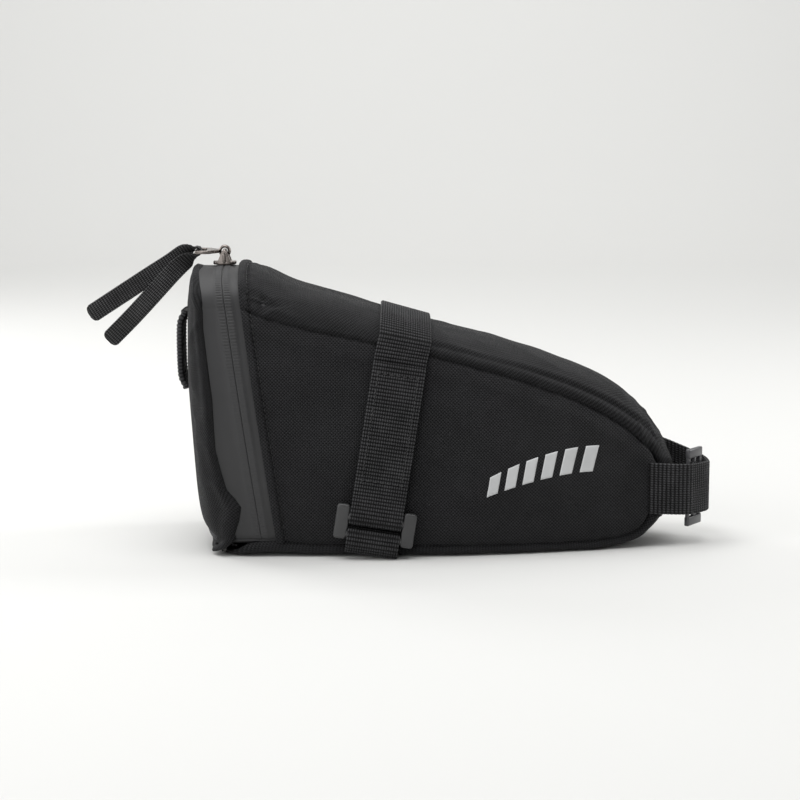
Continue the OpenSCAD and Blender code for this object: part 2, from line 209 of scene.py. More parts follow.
def mirrored(grid):
    # the far side's copy, with its normals still outwards
    return (grid * [1, -1, 1])[:, ::-1]


def clothUv(grid):
    return np.stack([gridLengths(grid, 1), gridLengths(grid, 0)], axis=2)


print("tools ready")


# materials
def newMaterial(name):
    material = bpy.data.materials.new(name)
    material.use_nodes = True
    tree = material.node_tree
    tree.nodes.clear()
    shader = addNode(tree, "ShaderNodeBsdfPrincipled")
    addNode(tree, "ShaderNodeOutputMaterial", {"Surface": shader.outputs[0]})
    return material, tree, shader


def setShader(shader, **values):
    names = {"roughness": "Roughness", "metallic": "Metallic", "specular": "Specular IOR Level",
             "sheen": "Sheen Weight", "sheenRoughness": "Sheen Roughness"}
    for key, value in values.items():
        shader.inputs[names[key]].default_value = value


def threadWaves(tree, pitchU, pitchV):
    # sines of the cloth's own two directions, one half wave for each thread
    uv = addNode(tree, "ShaderNodeUVMap", uv_map="clothMm")
    parts = addNode(tree, "ShaderNodeSeparateXYZ", {0: uv.outputs[0]})
    waves = []
    for axis, pitch in ((0, pitchU), (1, pitchV)):
        turn = addNode(tree, "ShaderNodeMath", {0: parts.outputs[axis], 1: math.pi / pitch},
                       operation="MULTIPLY")
        waves.append(addNode(tree, "ShaderNodeMath", {0: turn.outputs[0]}, operation="SINE").outputs[0])
    return waves


def patchyColour(tree, shader, dark, light, scale, extra=None):
    # slow change of tone over the piece, plus an extra tone where one is given: the weave's pattern on the
    # woven cloth, painted highlight and shade on the webbing's ribs
    spot = addNode(tree, "ShaderNodeTexCoord").outputs["Object"]
    cloud = addNode(tree, "ShaderNodeTexNoise", {"Vector": spot, "Scale": scale, "Detail": 4.0,
                                                "Roughness": 0.6}).outputs["Fac"]
    factor = cloud
    if extra is not None:
        factor = addNode(tree, "ShaderNodeMath", {0: cloud, 1: extra}, operation="ADD",
                         use_clamp=True).outputs[0]
    tone = addNode(tree, "ShaderNodeMix", {0: factor, 6: hexColour(dark), 7: hexColour(light)},
                   data_type="RGBA")
    tree.links.new(tone.outputs[2], shader.inputs["Base Color"])
    return cloud


def fineRelief(tree, shader, scale, detail, strength, depthMm, over=None):
    # fine noise as bump, on top of the weave's own height where there is one
    spot = addNode(tree, "ShaderNodeTexCoord").outputs["Object"]
    height = addNode(tree, "ShaderNodeTexNoise", {"Vector": spot, "Scale": scale,
                                                  "Detail": detail}).outputs["Fac"]
    if over is not None:
        height = addNode(tree, "ShaderNodeMath", {0: over, 1: height}, operation="ADD").outputs[0]
    relief = addNode(tree, "ShaderNodeBump", {"Height": height, "Strength": strength,
                                              "Distance": depthMm * mm})
    tree.links.new(relief.outputs[0], shader.inputs["Normal"])


wovenSettings = {"yarnPitch": 0.82, "dark": "060607", "light": "2c2c2e", "bumpMm": 0.32}


def wovenPolyester(name, dark, light):
    # 600-denier plain-woven polyester, dyed black and PU-backed: dull, a faint grey sheen on the yarn tops.
    # Real yarns are 0.5 mm apart; they are drawn 0.82 mm apart so that the weave shows.
    material, tree, shader = newMaterial(name)
    pitch = wovenSettings["yarnPitch"]
    waveU, waveV = threadWaves(tree, pitch, pitch)
    cross = addNode(tree, "ShaderNodeMath", {0: waveU, 1: waveV}, operation="MULTIPLY").outputs[0]
    height = addNode(tree, "ShaderNodeMath", {0: cross}, operation="ABSOLUTE").outputs[0]
    patchyColour(tree, shader, dark, light, 55.0, cross)
    fineRelief(tree, shader, 2600.0, 2.0, 1.0, wovenSettings["bumpMm"], height)
    setShader(shader, roughness=0.72, sheen=0.03, sheenRoughness=0.4, specular=0.2)
    return material


def laminatedFilm():
    # polyurethane film laminated on the zip tape: smooth and satin, so it is the lightest large surface
    material, tree, shader = newMaterial("polyurethaneZipFilm")
    cloud = patchyColour(tree, shader, "2c2c2d", "39393a", 30.0)
    rough = addNode(tree, "ShaderNodeMapRange", {"Value": cloud, "To Min": 0.5, "To Max": 0.64})
    tree.links.new(rough.outputs[0], shader.inputs["Roughness"])
    fineRelief(tree, shader, 900.0, 3.0, 0.25, 0.06)
    setShader(shader, specular=0.4)
    return material


webSettings = {"ribPitch": 1.7, "warpPitch": 1.15, "dark": "050506", "light": "464648"}


def nylonWebbing(name, warpPitch, ribPitch, dark=webSettings["dark"], light=webSettings["light"]):
    # ribbed nylon webbing: round ribs across it, with the warp's columns of small floats along it; painted
    # highlight on the rib and float tops and painted shade between them
    material, tree, shader = newMaterial(name)
    waveU, waveV = threadWaves(tree, warpPitch, ribPitch)
    ribTop = addNode(tree, "ShaderNodeMath", {0: waveV}, operation="ABSOLUTE").outputs[0]
    column = addNode(tree, "ShaderNodeMath", {0: waveU}, operation="ABSOLUTE").outputs[0]
    # painted highlight: the colour is lightest where rib tops and float tops meet, and painted shade darkens
    # it between them
    ribTopHighlight = addNode(tree, "ShaderNodeMath", {0: ribTop, 1: column}, operation="MULTIPLY").outputs[0]
    lift = addNode(tree, "ShaderNodeMath", {0: ribTopHighlight, 1: 1.1, 2: -0.72}, operation="MULTIPLY_ADD")
    patchyColour(tree, shader, dark, light, 80.0, lift.outputs[0])
    fineRelief(tree, shader, 3000.0, 2.0, 0.9, 0.34, column)
    setShader(shader, roughness=0.6, sheen=0.03, sheenRoughness=0.4, specular=0.22)
    return material


def mouldedAcetal(name, dark, light, edgeHighlight):
    # injection-moulded acetal with a fine spark-eroded texture; a painted highlight makes its colour brighter
    # along its edges
    material, tree, shader = newMaterial(name)
    patchyColour(tree, shader, dark, light, 60.0)
    shape = addNode(tree, "ShaderNodeNewGeometry")
    # painted highlight: convex edges, found by pointiness, get the lighter colour
    edge = addNode(tree, "ShaderNodeMapRange", {"Value": shape.outputs["Pointiness"], "From Min": 0.52,
                                                "From Max": 0.62})
    base = shader.inputs["Base Color"].links[0].from_socket
    tone = addNode(tree, "ShaderNodeMix", {0: edge.outputs[0], 6: base, 7: hexColour(edgeHighlight)},
                   data_type="RGBA")
    tree.links.new(tone.outputs[2], shader.inputs["Base Color"])
    fineRelief(tree, shader, 2200.0, 2.0, 0.35, 0.05)
    setShader(shader, roughness=0.3, specular=0.45)
    return material


def gunmetalPlate():
    # zinc die casting with dark nickel plating, polished by handling: small bright highlights, dark body
    material, tree, shader = newMaterial("gunmetalPlatedZinc")
    cloud = patchyColour(tree, shader, "544f4c", "9e9691", 400.0)
    rough = addNode(tree, "ShaderNodeMapRange", {"Value": cloud, "To Min": 0.18, "To Max": 0.4})
    tree.links.new(rough.outputs[0], shader.inputs["Roughness"])
    setShader(shader, metallic=1.0)
    return material


def threadMaterial(name, dark, light):
    # bonded polyester sewing thread: slightly glossy, twisted
    material, tree, shader = newMaterial(name)
    patchyColour(tree, shader, dark, light, 900.0)
    spot = addNode(tree, "ShaderNodeTexCoord").outputs["Object"]
    twist = addNode(tree, "ShaderNodeTexWave", {"Vector": spot, "Scale": 700.0})
    relief = addNode(tree, "ShaderNodeBump", {"Height": twist.outputs["Fac"], "Strength": 0.4,
                                              "Distance": 0.08 * mm})
    tree.links.new(relief.outputs[0], shader.inputs["Normal"])
    setShader(shader, roughness=0.5, sheen=0.2)
    return material


def plainMaterial(name, dark, light, scale, roughness, sheen, reliefMm):
    material, tree, shader = newMaterial(name)
    patchyColour(tree, shader, dark, light, 60.0)
    fineRelief(tree, shader, scale, 3.0, 0.8, reliefMm)
    setShader(shader, roughness=roughness, sheen=sheen)
    return material


shellCloth = wovenPolyester("wovenPolyester", wovenSettings["dark"], wovenSettings["light"])
liningCloth = wovenPolyester("greyLiningCloth", "3c3c3f", "5a5a5d")
zipFilm = laminatedFilm()
# the webbings and the ribbon carry painted highlight on their rib tops and painted shade between the ribs
webbing = nylonWebbing("ribbedNylonWebbing", webSettings["warpPitch"], webSettings["ribPitch"])
postWebbing = nylonWebbing("coarseRibbedWebbing", webSettings["warpPitch"], 2.0)
ribbonCloth = nylonWebbing("ribbedPolyesterRibbon", 0.9, 1.4, "0b0b0c", "5e5e5f")
# the last colour of each acetal is its painted edge highlight
ringPlastic = mouldedAcetal("greyMouldedAcetal", "303031", "3d3d3e", "545455")
bucklePlastic = mouldedAcetal("blackMouldedAcetal", "1c1c1d", "262627", "6a6a6e")
metalPlate = gunmetalPlate()
blackThread = threadMaterial("blackSewingThread", "0b0b0c", "19191a")
webThread = threadMaterial("webbingSewingThread", "131314", "262627")
# moulded nylon monofilament, half glossy
nylonCoil = plainMaterial("nylonZipCoil", "0d0d0e", "1b1b1c", 1500.0, 0.4, 0.0, 0.03)
# nylon hooks and loops: a matt, fuzzy pile
hookPile = plainMaterial("hookAndLoopPile", "0a0a0a", "1c1c1c", 2400.0, 0.95, 0.6, 0.5)
# woven polyester tape folded over the raw edges: dull grey
seamBinding = plainMaterial("wovenSeamBinding", "232325", "3a3a3c", 1900.0, 0.85, 0.3, 0.12)
# silver transfer film with glass beads: pale, flat and slightly grainy
reflectiveFilm = plainMaterial("reflectiveTransferFilm", "b4b5b6", "d2d3d4", 1600.0, 0.38, 0.0, 0.03)
print("materials ready:", len(bpy.data.materials))


# Geometry Nodes: what repeats along a path
def newTree(name, sockets):
    tree = bpy.data.node_groups.new(name, "GeometryNodeTree")
    tree.is_modifier = True
    tree.interface.new_socket("Geometry", in_out="INPUT", socket_type="NodeSocketGeometry")
    for label, kind in sockets:
        tree.interface.new_socket(label, in_out="INPUT", socket_type="NodeSocket" + kind)
    tree.interface.new_socket("Geometry", in_out="OUTPUT", socket_type="NodeSocketGeometry")
    return tree, addNode(tree, "NodeGroupInput")


def endTree(tree, geometry, material):
    real = addNode(tree, "GeometryNodeRealizeInstances", {"Geometry": geometry})
    painted = addNode(tree, "GeometryNodeSetMaterial", {"Geometry": real.outputs[0], "Material": material})
    addNode(tree, "NodeGroupOutput", {0: painted.outputs[0]})


def rowTree():
    # small rounded pieces at even spacing along a line, lying along it or across it
    tree, given = newTree("rowAlongLine", [("Spacing", "Float"), ("Size", "Vector"), ("Lie", "Vector"),
                                           ("Along", "Bool"), ("Material", "Material")])
    line = addNode(tree, "GeometryNodeMeshToCurve", {"Mesh": given.outputs["Geometry"]})
    dots = addNode(tree, "GeometryNodeResampleCurve",
                   {"Curve": line.outputs[0], "Length": given.outputs["Spacing"]}, mode="LENGTH")
    tangent = addNode(tree, "GeometryNodeInputTangent")
    way = addNode(tree, "GeometryNodeSwitch",
                  {"Switch": given.outputs["Along"], "False": given.outputs["Lie"],
                   "True": tangent.outputs[0]}, input_type="VECTOR")
    turn = addNode(tree, "FunctionNodeAlignRotationToVector", {"Vector": way.outputs[0]}, axis="X")
    grain = addNode(tree, "GeometryNodeMeshUVSphere", {"Segments": 8, "Rings": 6, "Radius": 0.5})
    soft = addNode(tree, "GeometryNodeSetShadeSmooth", {"Geometry": grain.outputs["Mesh"]})
    row = addNode(tree, "GeometryNodeInstanceOnPoints",
                  {"Points": dots.outputs[0], "Instance": soft.outputs[0], "Rotation": turn.outputs[0],
                   "Scale": given.outputs["Size"]})
    endTree(tree, row.outputs[0], given.outputs["Material"])
    return tree


def ribTree():
    # raises round ribs across a strip of webbing, by the distance along it that its points carry
    tree, given = newTree("webbingRibs", [("Pitch", "Float"), ("Height", "Float"), ("Material", "Material")])
    along = addNode(tree, "GeometryNodeInputNamedAttribute", {"Name": "along"}, data_type="FLOAT")
    share = addNode(tree, "GeometryNodeInputNamedAttribute", {"Name": "ribShare"}, data_type="FLOAT")
    # half a sine wave for each rib, lowered so that the webbing keeps its mean thickness
    wave = along.outputs[0]
    for operation, other in (("DIVIDE", given.outputs["Pitch"]), ("MULTIPLY", math.pi), ("SINE", None),
                             ("ABSOLUTE", None), ("SUBTRACT", 0.6), ("MULTIPLY", given.outputs["Height"]),
                             ("MULTIPLY", share.outputs[0])):
        inputs = {0: wave} if other is None else {0: wave, 1: other}
        wave = addNode(tree, "ShaderNodeMath", inputs, operation=operation).outputs[0]
    normal = addNode(tree, "GeometryNodeInputNormal")
    shift = addNode(tree, "ShaderNodeVectorMath", {0: normal.outputs[0], "Scale": wave}, operation="SCALE")
    moved = addNode(tree, "GeometryNodeSetPosition", {"Geometry": given.outputs["Geometry"],
                                                      "Offset": shift.outputs[0]})
    endTree(tree, moved.outputs[0], given.outputs["Material"])
    return tree


rowNodes, ribNodes = rowTree(), ribTree()


def applyNodes(piece, tree, values):
    # runs the tree on the piece and keeps the result as its plain mesh
    modifier = piece.modifiers.new("nodes", "NODES")
    modifier.node_group = tree
    for item in tree.interface.items_tree:
        if item.in_out == "INPUT" and item.name in values:
            modifier[item.identifier] = values[item.name]
    depsgraph = bpy.context.evaluated_depsgraph_get()
    mesh = bpy.data.meshes.new_from_object(piece.evaluated_get(depsgraph))
    piece.modifiers.remove(modifier)
    mesh.name = piece.name
    piece.data = mesh
    return piece


def rowPiece(name, lines, spacing, size, material, lie=(1, 0, 0), along=True):
    # lines is a list of polylines in mm
    points, edges = [], []
    for line in lines:
        base = len(points)
        points += [list(p) for p in line]
        edges += [(base + i, base + i + 1) for i in range(len(line) - 1)]
    mesh = bpy.data.meshes.new(name)
    mesh.from_pydata((np.array(points) * mm).tolist(), edges, [])
    values = {"Spacing": spacing * mm, "Size": [s * mm for s in size], "Lie": list(lie), "Along": along,
              "Material": material}
    return applyNodes(addObject(name, mesh), rowNodes, values)


stitchSettings = {"pitch": 2.8, "length": 2.15, "thick": 0.42}


def stitches(name, lines, body, material):
    q = stitchSettings
    piece = rowPiece(name, lines, q["pitch"], (q["length"], q["thick"], q["thick"]), material)
    assign(piece, body)


def strapBand(name, path, across, width, thickness, material, ribPitch, ribHeight=0.55, endRadius=0):
    # webbing whose inner face follows the path; thickness grows along across x direction of travel
    path = np.asarray(path, float)
    across = np.asarray(across, float)
    if across.ndim == 1:
        across = np.repeat(across[None], len(path), axis=0)
    foot, along = evenPath(path, ribPitch / 7)
    whole = pathLengths(path)
    side = unit(np.stack([np.interp(along, whole, across[:, k]) for k in range(3)], axis=1))
    up = unit(np.cross(side, unit(np.gradient(foot, axis=0))))
    # closed outline of the webbing's section: flat faces and round selvedges
    spots = np.linspace(-1, 1, 15)
    flat = width / 2 - thickness / 2
    ends = [(flat + thickness / 2 * math.cos(t), thickness / 2 * math.sin(t)) for t in
            np.radians([60, 30, 0, -30, -60])]
    outline = [(s * flat, thickness / 2) for s in spots] + ends
    outline += [(-s * flat, -thickness / 2) for s in spots] + [(-x, -y) for x, y in ends]
    outline = np.array(outline)
    share = np.where(np.abs(outline[:, 0]) <= flat + 1e-6, 1.0, 0.25)
    narrow = np.ones(len(along))
    if endRadius:
        for at in (along, along[-1] - along):
            near = np.clip(1 - at / endRadius, 0, 1)
            narrow -= endRadius / (width / 2) * (1 - np.sqrt(1 - near ** 2))
    centre = foot + up * thickness / 2
    points = (centre[:, None] + side[:, None] * outline[:, 0][None, :, None] * narrow[:, None, None]
              + up[:, None] * outline[:, 1][None, :, None])
    rows, cols = points.shape[:2]
    distance = np.broadcast_to(along[:, None], (rows, cols))
    ids = np.arange(rows * cols).reshape(rows, cols)
    after = np.roll(ids, -1, axis=1)
    faces = np.stack([ids[:-1], ids[1:], after[1:], after[:-1]], axis=-1).reshape(-1, 4)
    # the outline runs clockwise seen along the strap, so the quads are turned to face outwards
    faces = faces[:, ::-1].tolist()
    faces += [ids[0].tolist(), ids[-1][::-1].tolist()]
    uv = np.stack([np.broadcast_to(outline[:, 0], (rows, cols)), distance], axis=2).reshape(-1, 2)
    piece = newPiece(name, points.reshape(-1, 3), faces, material, uv)
    for label, data in (("along", distance * mm), ("ribShare", np.broadcast_to(share[None], (rows, cols)))):
        layer = piece.data.attributes.new(label, "FLOAT", "POINT")
        layer.data.foreach_set("value", np.ascontiguousarray(data, np.float32).ravel())
    values = {"Pitch": ribPitch * mm, "Height": ribHeight * mm, "Material": material}
    return applyNodes(piece, ribNodes, values)


def outlinePiece(name, loops, depth, bevel, place, material):
    # a flat outline with holes, given depth and rounded edges; place turns its points to where it goes
    curve = bpy.data.curves.new(name, "CURVE")
    curve.dimensions = "2D"
    curve.fill_mode = "BOTH"
    curve.extrude = (depth / 2 - bevel) * mm
    curve.bevel_depth = bevel * mm
    curve.bevel_resolution = 3
    curve.offset = -bevel * mm
    for loop in loops:
        spline = curve.splines.new("POLY")
        spline.points.add(len(loop) - 1)
        spline.use_cyclic_u = True
        for point, (x, y) in zip(spline.points, loop):
            point.co = (x * mm, y * mm, 0, 1)
    flat = addObject(name, curve)
    mesh = bpy.data.meshes.new_from_object(flat.evaluated_get(bpy.context.evaluated_depsgraph_get()))
    bpy.data.objects.remove(flat)
    points = np.zeros(len(mesh.vertices) * 3)
    mesh.vertices.foreach_get("co", points)
    moved = place(points.reshape(-1, 3) / mm) * mm
    mesh.vertices.foreach_set("co", moved.ravel())
    mesh.polygons.foreach_set("use_smooth", [True] * len(mesh.polygons))
    mesh.materials.clear()
    mesh.materials.append(material)
    piece = addObject(name, mesh)
    cleanMesh(piece)
    return piece


def cleanMesh(piece):
    work = bmesh.new()
    work.from_mesh(piece.data)
    bmesh.ops.remove_doubles(work, verts=work.verts, dist=0.00001)
    bmesh.ops.recalc_face_normals(work, faces=work.faces)
    for edge in work.edges:
        edge.smooth = len(edge.link_faces) != 2 or edge.calc_face_angle(0) < math.radians(40)
    work.to_mesh(piece.data)
    work.free()


def roundedLoop(width, height, radius, centre=(0, 0), steps=6):
    loop = []
    for corner in range(4):
        sx = 1 if corner in (0, 3) else -1
        sy = 1 if corner < 2 else -1
        for i in range(steps + 1):
            t = math.radians(90 * corner + 90 * i / steps)
            loop.append((centre[0] + sx * (width / 2 - radius) + radius * math.cos(t),
                         centre[1] + sy * (height / 2 - radius) + radius * math.sin(t)))
    return loop


def tube(name, path, radius, across, material, body, node, flat=1.0, count=14):
    # a rod along a path; flat squeezes it at right angles to across
    run = unit(np.gradient(path, axis=0))
    side = np.broadcast_to(np.array(across, float), run.shape)
    side = unit(side - (side * run).sum(1, keepdims=True) * run)
    up = np.cross(run, side)
    t = np.linspace(0, 2 * np.pi, count, endpoint=False)
    ring = radius * (side[:, None] * np.cos(t)[None, :, None] + up[:, None] * np.sin(t)[None, :, None] * flat)
    points = path[:, None] + ring
    ids = np.arange(len(path) * count).reshape(-1, count)
    after = np.roll(ids, -1, axis=1)
    faces = np.stack([ids[:-1], after[:-1], after[1:], ids[1:]], axis=-1).reshape(-1, 4).tolist()
    faces += [ids[0][::-1].tolist(), ids[-1].tolist()]
    piece = newPiece(name, points.reshape(-1, 3), faces, material)
    cleanMesh(piece)
    assign(piece, body, node)


print("node trees ready")

# the bag's own surfaces, as the CAD has them
bagShape = {"half": 46.5, "noseHalf": 18.0, "noseX": 120.0, "taper": 1.6, "cloth": 1.1, "topShare": 0.81,
            "lowShare": 0.94, "bulge": 0.1}
seamPoints = [[-88.5, 0.81, 117.6], [-78, 0.81, 113.2], [-60, 0.81, 108.3], [-26.5, 0.81, 100.8],
              [20, 0.81, 90], [63, 0.81, 75.8], [86, 0.81, 64.6], [102.8, 0.82, 52.1], [111.5, 0.84, 41],
              [111.2, 0.95, 29],
              [108, 0.94, 16.9], [101, 0.94, 8], [86, 0.94, 4.8], [64, 0.94, 4.4], [30, 0.94, 4.6],
              [-8, 0.94, 5], [-42, 0.94, 5.2], [-62, 0.94, 6], [-72, 0.94, 7], [-84, 0.94, 6.2],
              [-91, 0.91, 3], [-96.5, 0.86, 1.9]]
crownPoints = [[-91, 0, 136.6], [-79, 0, 134.4], [-62, 0, 127.3], [-27, 0, 116.4],
               [17, 0, 104.6], [62, 0, 90.8], [91.3, 0, 77.8], [109.4, 0, 60.4], [118, 0, 46.5],
               [121.8, 0, 30],
               [114.5, 0, 13.2], [103, 0, 3.4], [86, 0, 0], [64, 0, 0], [30, 0, 0],
               [-8, 0, 0], [-42, 0, 0], [-62, 0, 0], [-72, 0, 0], [-84, 0, 0],
               [-91, 0, 0.2], [-96.5, 0, 1]]
squareness = [[0, 2.3], [8, 2.3], [11, 4], [13, 6], [21, 6]]
noseLow, mouthLow = 10, 18
zipShape = {"footX": -79.5, "footZ": 10.5, "lean": 0.152, "lowZ": 7.0, "seamZ": 117.6, "topZ": 136.6,
            "inset": 1.6, "bodyEdge": 7.5, "flapEdge": 9.5, "flapLowZ": 1.8, "dome": 3.2, "topPower": 2.3,
            "flapDepth": 21, "flapLean": 14}
strapShape = {"footX": -27.5, "tilt": 8.8, "seamZ": 97.2, "crownZ": 112.0, "width": 25.0, "thick": 1.4,
              "low": 3.5, "shoulder": 94.0, "nearEnd": 22.2}


def halfWidth(x):
    b = bagShape
    return b["half"] - (b["half"] - b["noseHalf"]) * (np.maximum(x, 0) / b["noseX"]) ** b["taper"]


def wallShare(s):
    # how far out the side stands at a share s of its height, of half the bag's width
    return mix(bagShape["lowShare"], bagShape["topShare"], s) + bagShape["bulge"] * np.sin(np.pi * s)


def sideGrid(u, s):
    u, s = np.meshgrid(u, s)
    low, top = smoothPath(seamPoints, mouthLow - u), smoothPath(seamPoints, u)
    p = mix(low, top, s[..., None])
    y = -(p[..., 1] + bagShape["bulge"] * np.sin(np.pi * s)) * halfWidth(p[..., 0])
    return np.stack([p[..., 0], y, p[..., 2]], axis=2)


def arcAcross(a, n):
    return np.sign(a) * np.abs(np.sin(a)) ** (2 / n)


def arcUp(a, n):
    return np.maximum(np.cos(a), 0) ** (2 / n)


def gussetGrid(k, a):
    k, a = np.meshgrid(k, np.radians(a), indexing="ij")
    seam, crown = smoothPath(seamPoints, k), smoothPath(crownPoints, k)
    n = np.interp(k, *np.array(squareness).T)
    up = arcUp(a, n)
    y = arcAcross(a, n) * seam[..., 1] * halfWidth(seam[..., 0])
    return np.stack([mix(seam[..., 0], crown[..., 0], up), y,
                     np.maximum(0, mix(seam[..., 2], crown[..., 2], up))], axis=2)


def zipX(z):
    return zipShape["footX"] - zipShape["lean"] * (z - zipShape["footZ"])


def mouthY(z):
    q, b = zipShape, bagShape
    s = (z - q["lowZ"]) / (q["seamZ"] - q["lowZ"])
    wall = np.where(z > q["seamZ"], b["topShare"] * b["half"], wallShare(s) * b["half"])
    return np.where(s < 0, b["lowShare"] * b["half"] - 0.2 * (q["lowZ"] - z) ** 2, wall)


def topArc(a, seam, crown, gap=0.0):
    # y and z of the arch over the top, gap mm off the bag, at angles from its middle
    n = zipShape["topPower"]
    y = (bagShape["topShare"] * bagShape["half"] + gap) * arcAcross(a, n)
    return y, mix(seam, crown + gap, arcUp(a, n))


def footReach(z):
    # near the ground the flap's edge curves away to the rear, down to the hinge
    return 10 * (np.maximum(0, 10 - z) / 8) ** 2


def flapDepth(z):
    return zipShape["flapDepth"] - zipShape["flapLean"] * (z / zipShape["topZ"]) ** 2


def hoopLine(spacing, low=8.0):
    # the mouth's outline as y and z: up the near side, over the top, down the far side
    z = np.linspace(low, zipShape["seamZ"], 60)
    a = np.radians(np.linspace(-88, 88, 60))
    near = np.stack([-mouthY(z), z], axis=1)
    over = np.stack(topArc(a, zipShape["seamZ"], zipShape["topZ"]), axis=1)
    whole = np.concatenate([near, over, near[::-1] * [-1, 1]])
    return evenPath(whole, spacing)


def flapGrid(a, b):
    q = zipShape
    b, a = np.meshgrid(np.radians(b), np.radians(a), indexing="ij")
    across, rise = arcAcross(a, q["dome"]), 0.5 + 0.5 * arcAcross(b, 8)
    crown = np.maximum(1 - np.abs(across) ** q["topPower"], 0) ** (1 / q["topPower"])
    z = mix(q["flapLowZ"], mix(q["seamZ"], q["topZ"], crown), rise)
    foot = footReach(z)
    depth = flapDepth(z) * arcUp(a, q["dome"]) * arcUp(b, 8) * (1 - foot / 22)
    return np.stack([zipX(z) - q["flapEdge"] - foot - depth, across * mouthY(z), z], axis=2)


def packed(count, low, high, ends=0.5):
    # steps that draw closer together towards both ends
    t = np.linspace(-1, 1, count)
    return mix(low, high, 0.5 + 0.5 * t * (1 + (1 - ends) / 2 - (1 - ends) / 2 * t ** 2))


def evenRise(count, low, high, ends):
    # angles up the flap that give even steps of height; low and high are shares from -1 to 1
    w = packed(count, low, high, ends)
    return np.degrees(np.arcsin(np.sign(w) * np.abs(w) ** 4))


# side panels
sideSettings = {"seamRoll": 1.1, "puff": 0.8, "pucker": 0.6, "sway": 1.3, "hem": 4.3, "hemRise": 1.3,
                "strapPress": 0.5}


def hemShape(d, along, place, seed):
    # folded and topstitched rear edge, d mm in from it: a soft roll, then the row sunk in between stitches
    q = sideSettings
    wobble = 0.5 * fold(place, (60, 60, 3.4), seed) * bump(d, q["hem"] + 0.6, 3.4)
    holes = 0.6 + 0.4 * np.cos(2 * np.pi * along / stitchSettings["pitch"])
    return (q["hemRise"] * (1 - step(d, q["hem"] - 0.9, q["hem"] + 0.4)) * step(d, -1.5, 1.7)
            - 0.85 * holes * bump(d, q["hem"], 0.75) + 0.35 * bump(d, q["hem"] + 2.4, 1.2) + wobble)


def creases(place, scale, seed):
    # sharp little folds: 1 on wandering lines, falling to 0 between them
    return np.maximum(0, 1 - 3.2 * np.abs(fold(place, scale, seed)))


def sidePanel(name, node, seed, farSide):
    q = sideSettings
    edge = np.array([0, 0.03, 0.06, 0.1, 0.15, 0.2, 0.25, 0.3, 0.35, 0.39, 0.43, 0.47, 0.51, 0.56, 0.62, 0.7])
    u = np.concatenate([edge, np.linspace(0.78, 7.6, 150), np.linspace(7.64, 8, 14)])
    s = packed(190, -0.004, 1.004, 0.3)
    grid = sideGrid(u, s)
    height = np.linalg.norm(grid[-1] - grid[0], axis=1)[None]
    low, top = s[:, None] * height, (1 - s[:, None]) * height
    seam = np.minimum(low, top)
    rear = gridLengths(grid, 1)
    front = rear[:, -1:] - rear
    swell = q["puff"] * (bump(top, 7, 5) + 0.6 * bump(low, 7, 5) + 0.7 * bump(front, 6, 5))
    swell -= q["seamRoll"] * (bump(seam, 0, 1.1) + bump(front, 0, 1.1))
    swell += q["pucker"] * fold(grid, (4.5, 40, 9), seed) * np.exp(-seam / 7)
    swell += q["sway"] * fold(grid, (48, 90, 34), seed + 1) * step(seam, 2, 18)
    swell += 0.4 * fold(grid, (17, 50, 60), seed + 2) * step(seam, 1, 8)
    swell += 0.4 * creases(grid, (16, 50, 11), seed + 5) * np.exp(-seam / 9) * step(seam, 0.5, 3)
    strapX = strapShape["footX"] + grid[..., 2] * math.tan(math.radians(strapShape["tilt"]))
    beside = np.abs(grid[..., 0] - strapX)
    swell += -q["strapPress"] * (1 - step(beside, 11, 15)) + 0.3 * bump(beside, 17, 4)
    swell += hemShape(rear, gridLengths(grid, 0), grid, seed + 3)
    probe, way = (80, 60), (0, -1, 0)
    grid = swollen(grid, swell, probe, way)
    grid, uv = turnedOut(grid, probe, way, grid[..., [0, 2]])
    if farSide:
        grid, uv = mirrored(grid), uv[:, ::-1]
    piece = clothShell(name, grid, bagShape["cloth"], shellCloth, uv)
    assign(piece, "bag", node)


sidePanel("sidePanelNear", "side_panel_near", 3, False)
sidePanel("sidePanelFar", "side_panel_far", 11, True)
print("side panels done")

# top and bottom gussets
topSettings = {"seamRoll": 1.1, "rollHeight": 6.5, "crease": 0.9, "sway": 1.1, "pucker": 0.55, "dent": 2.4}


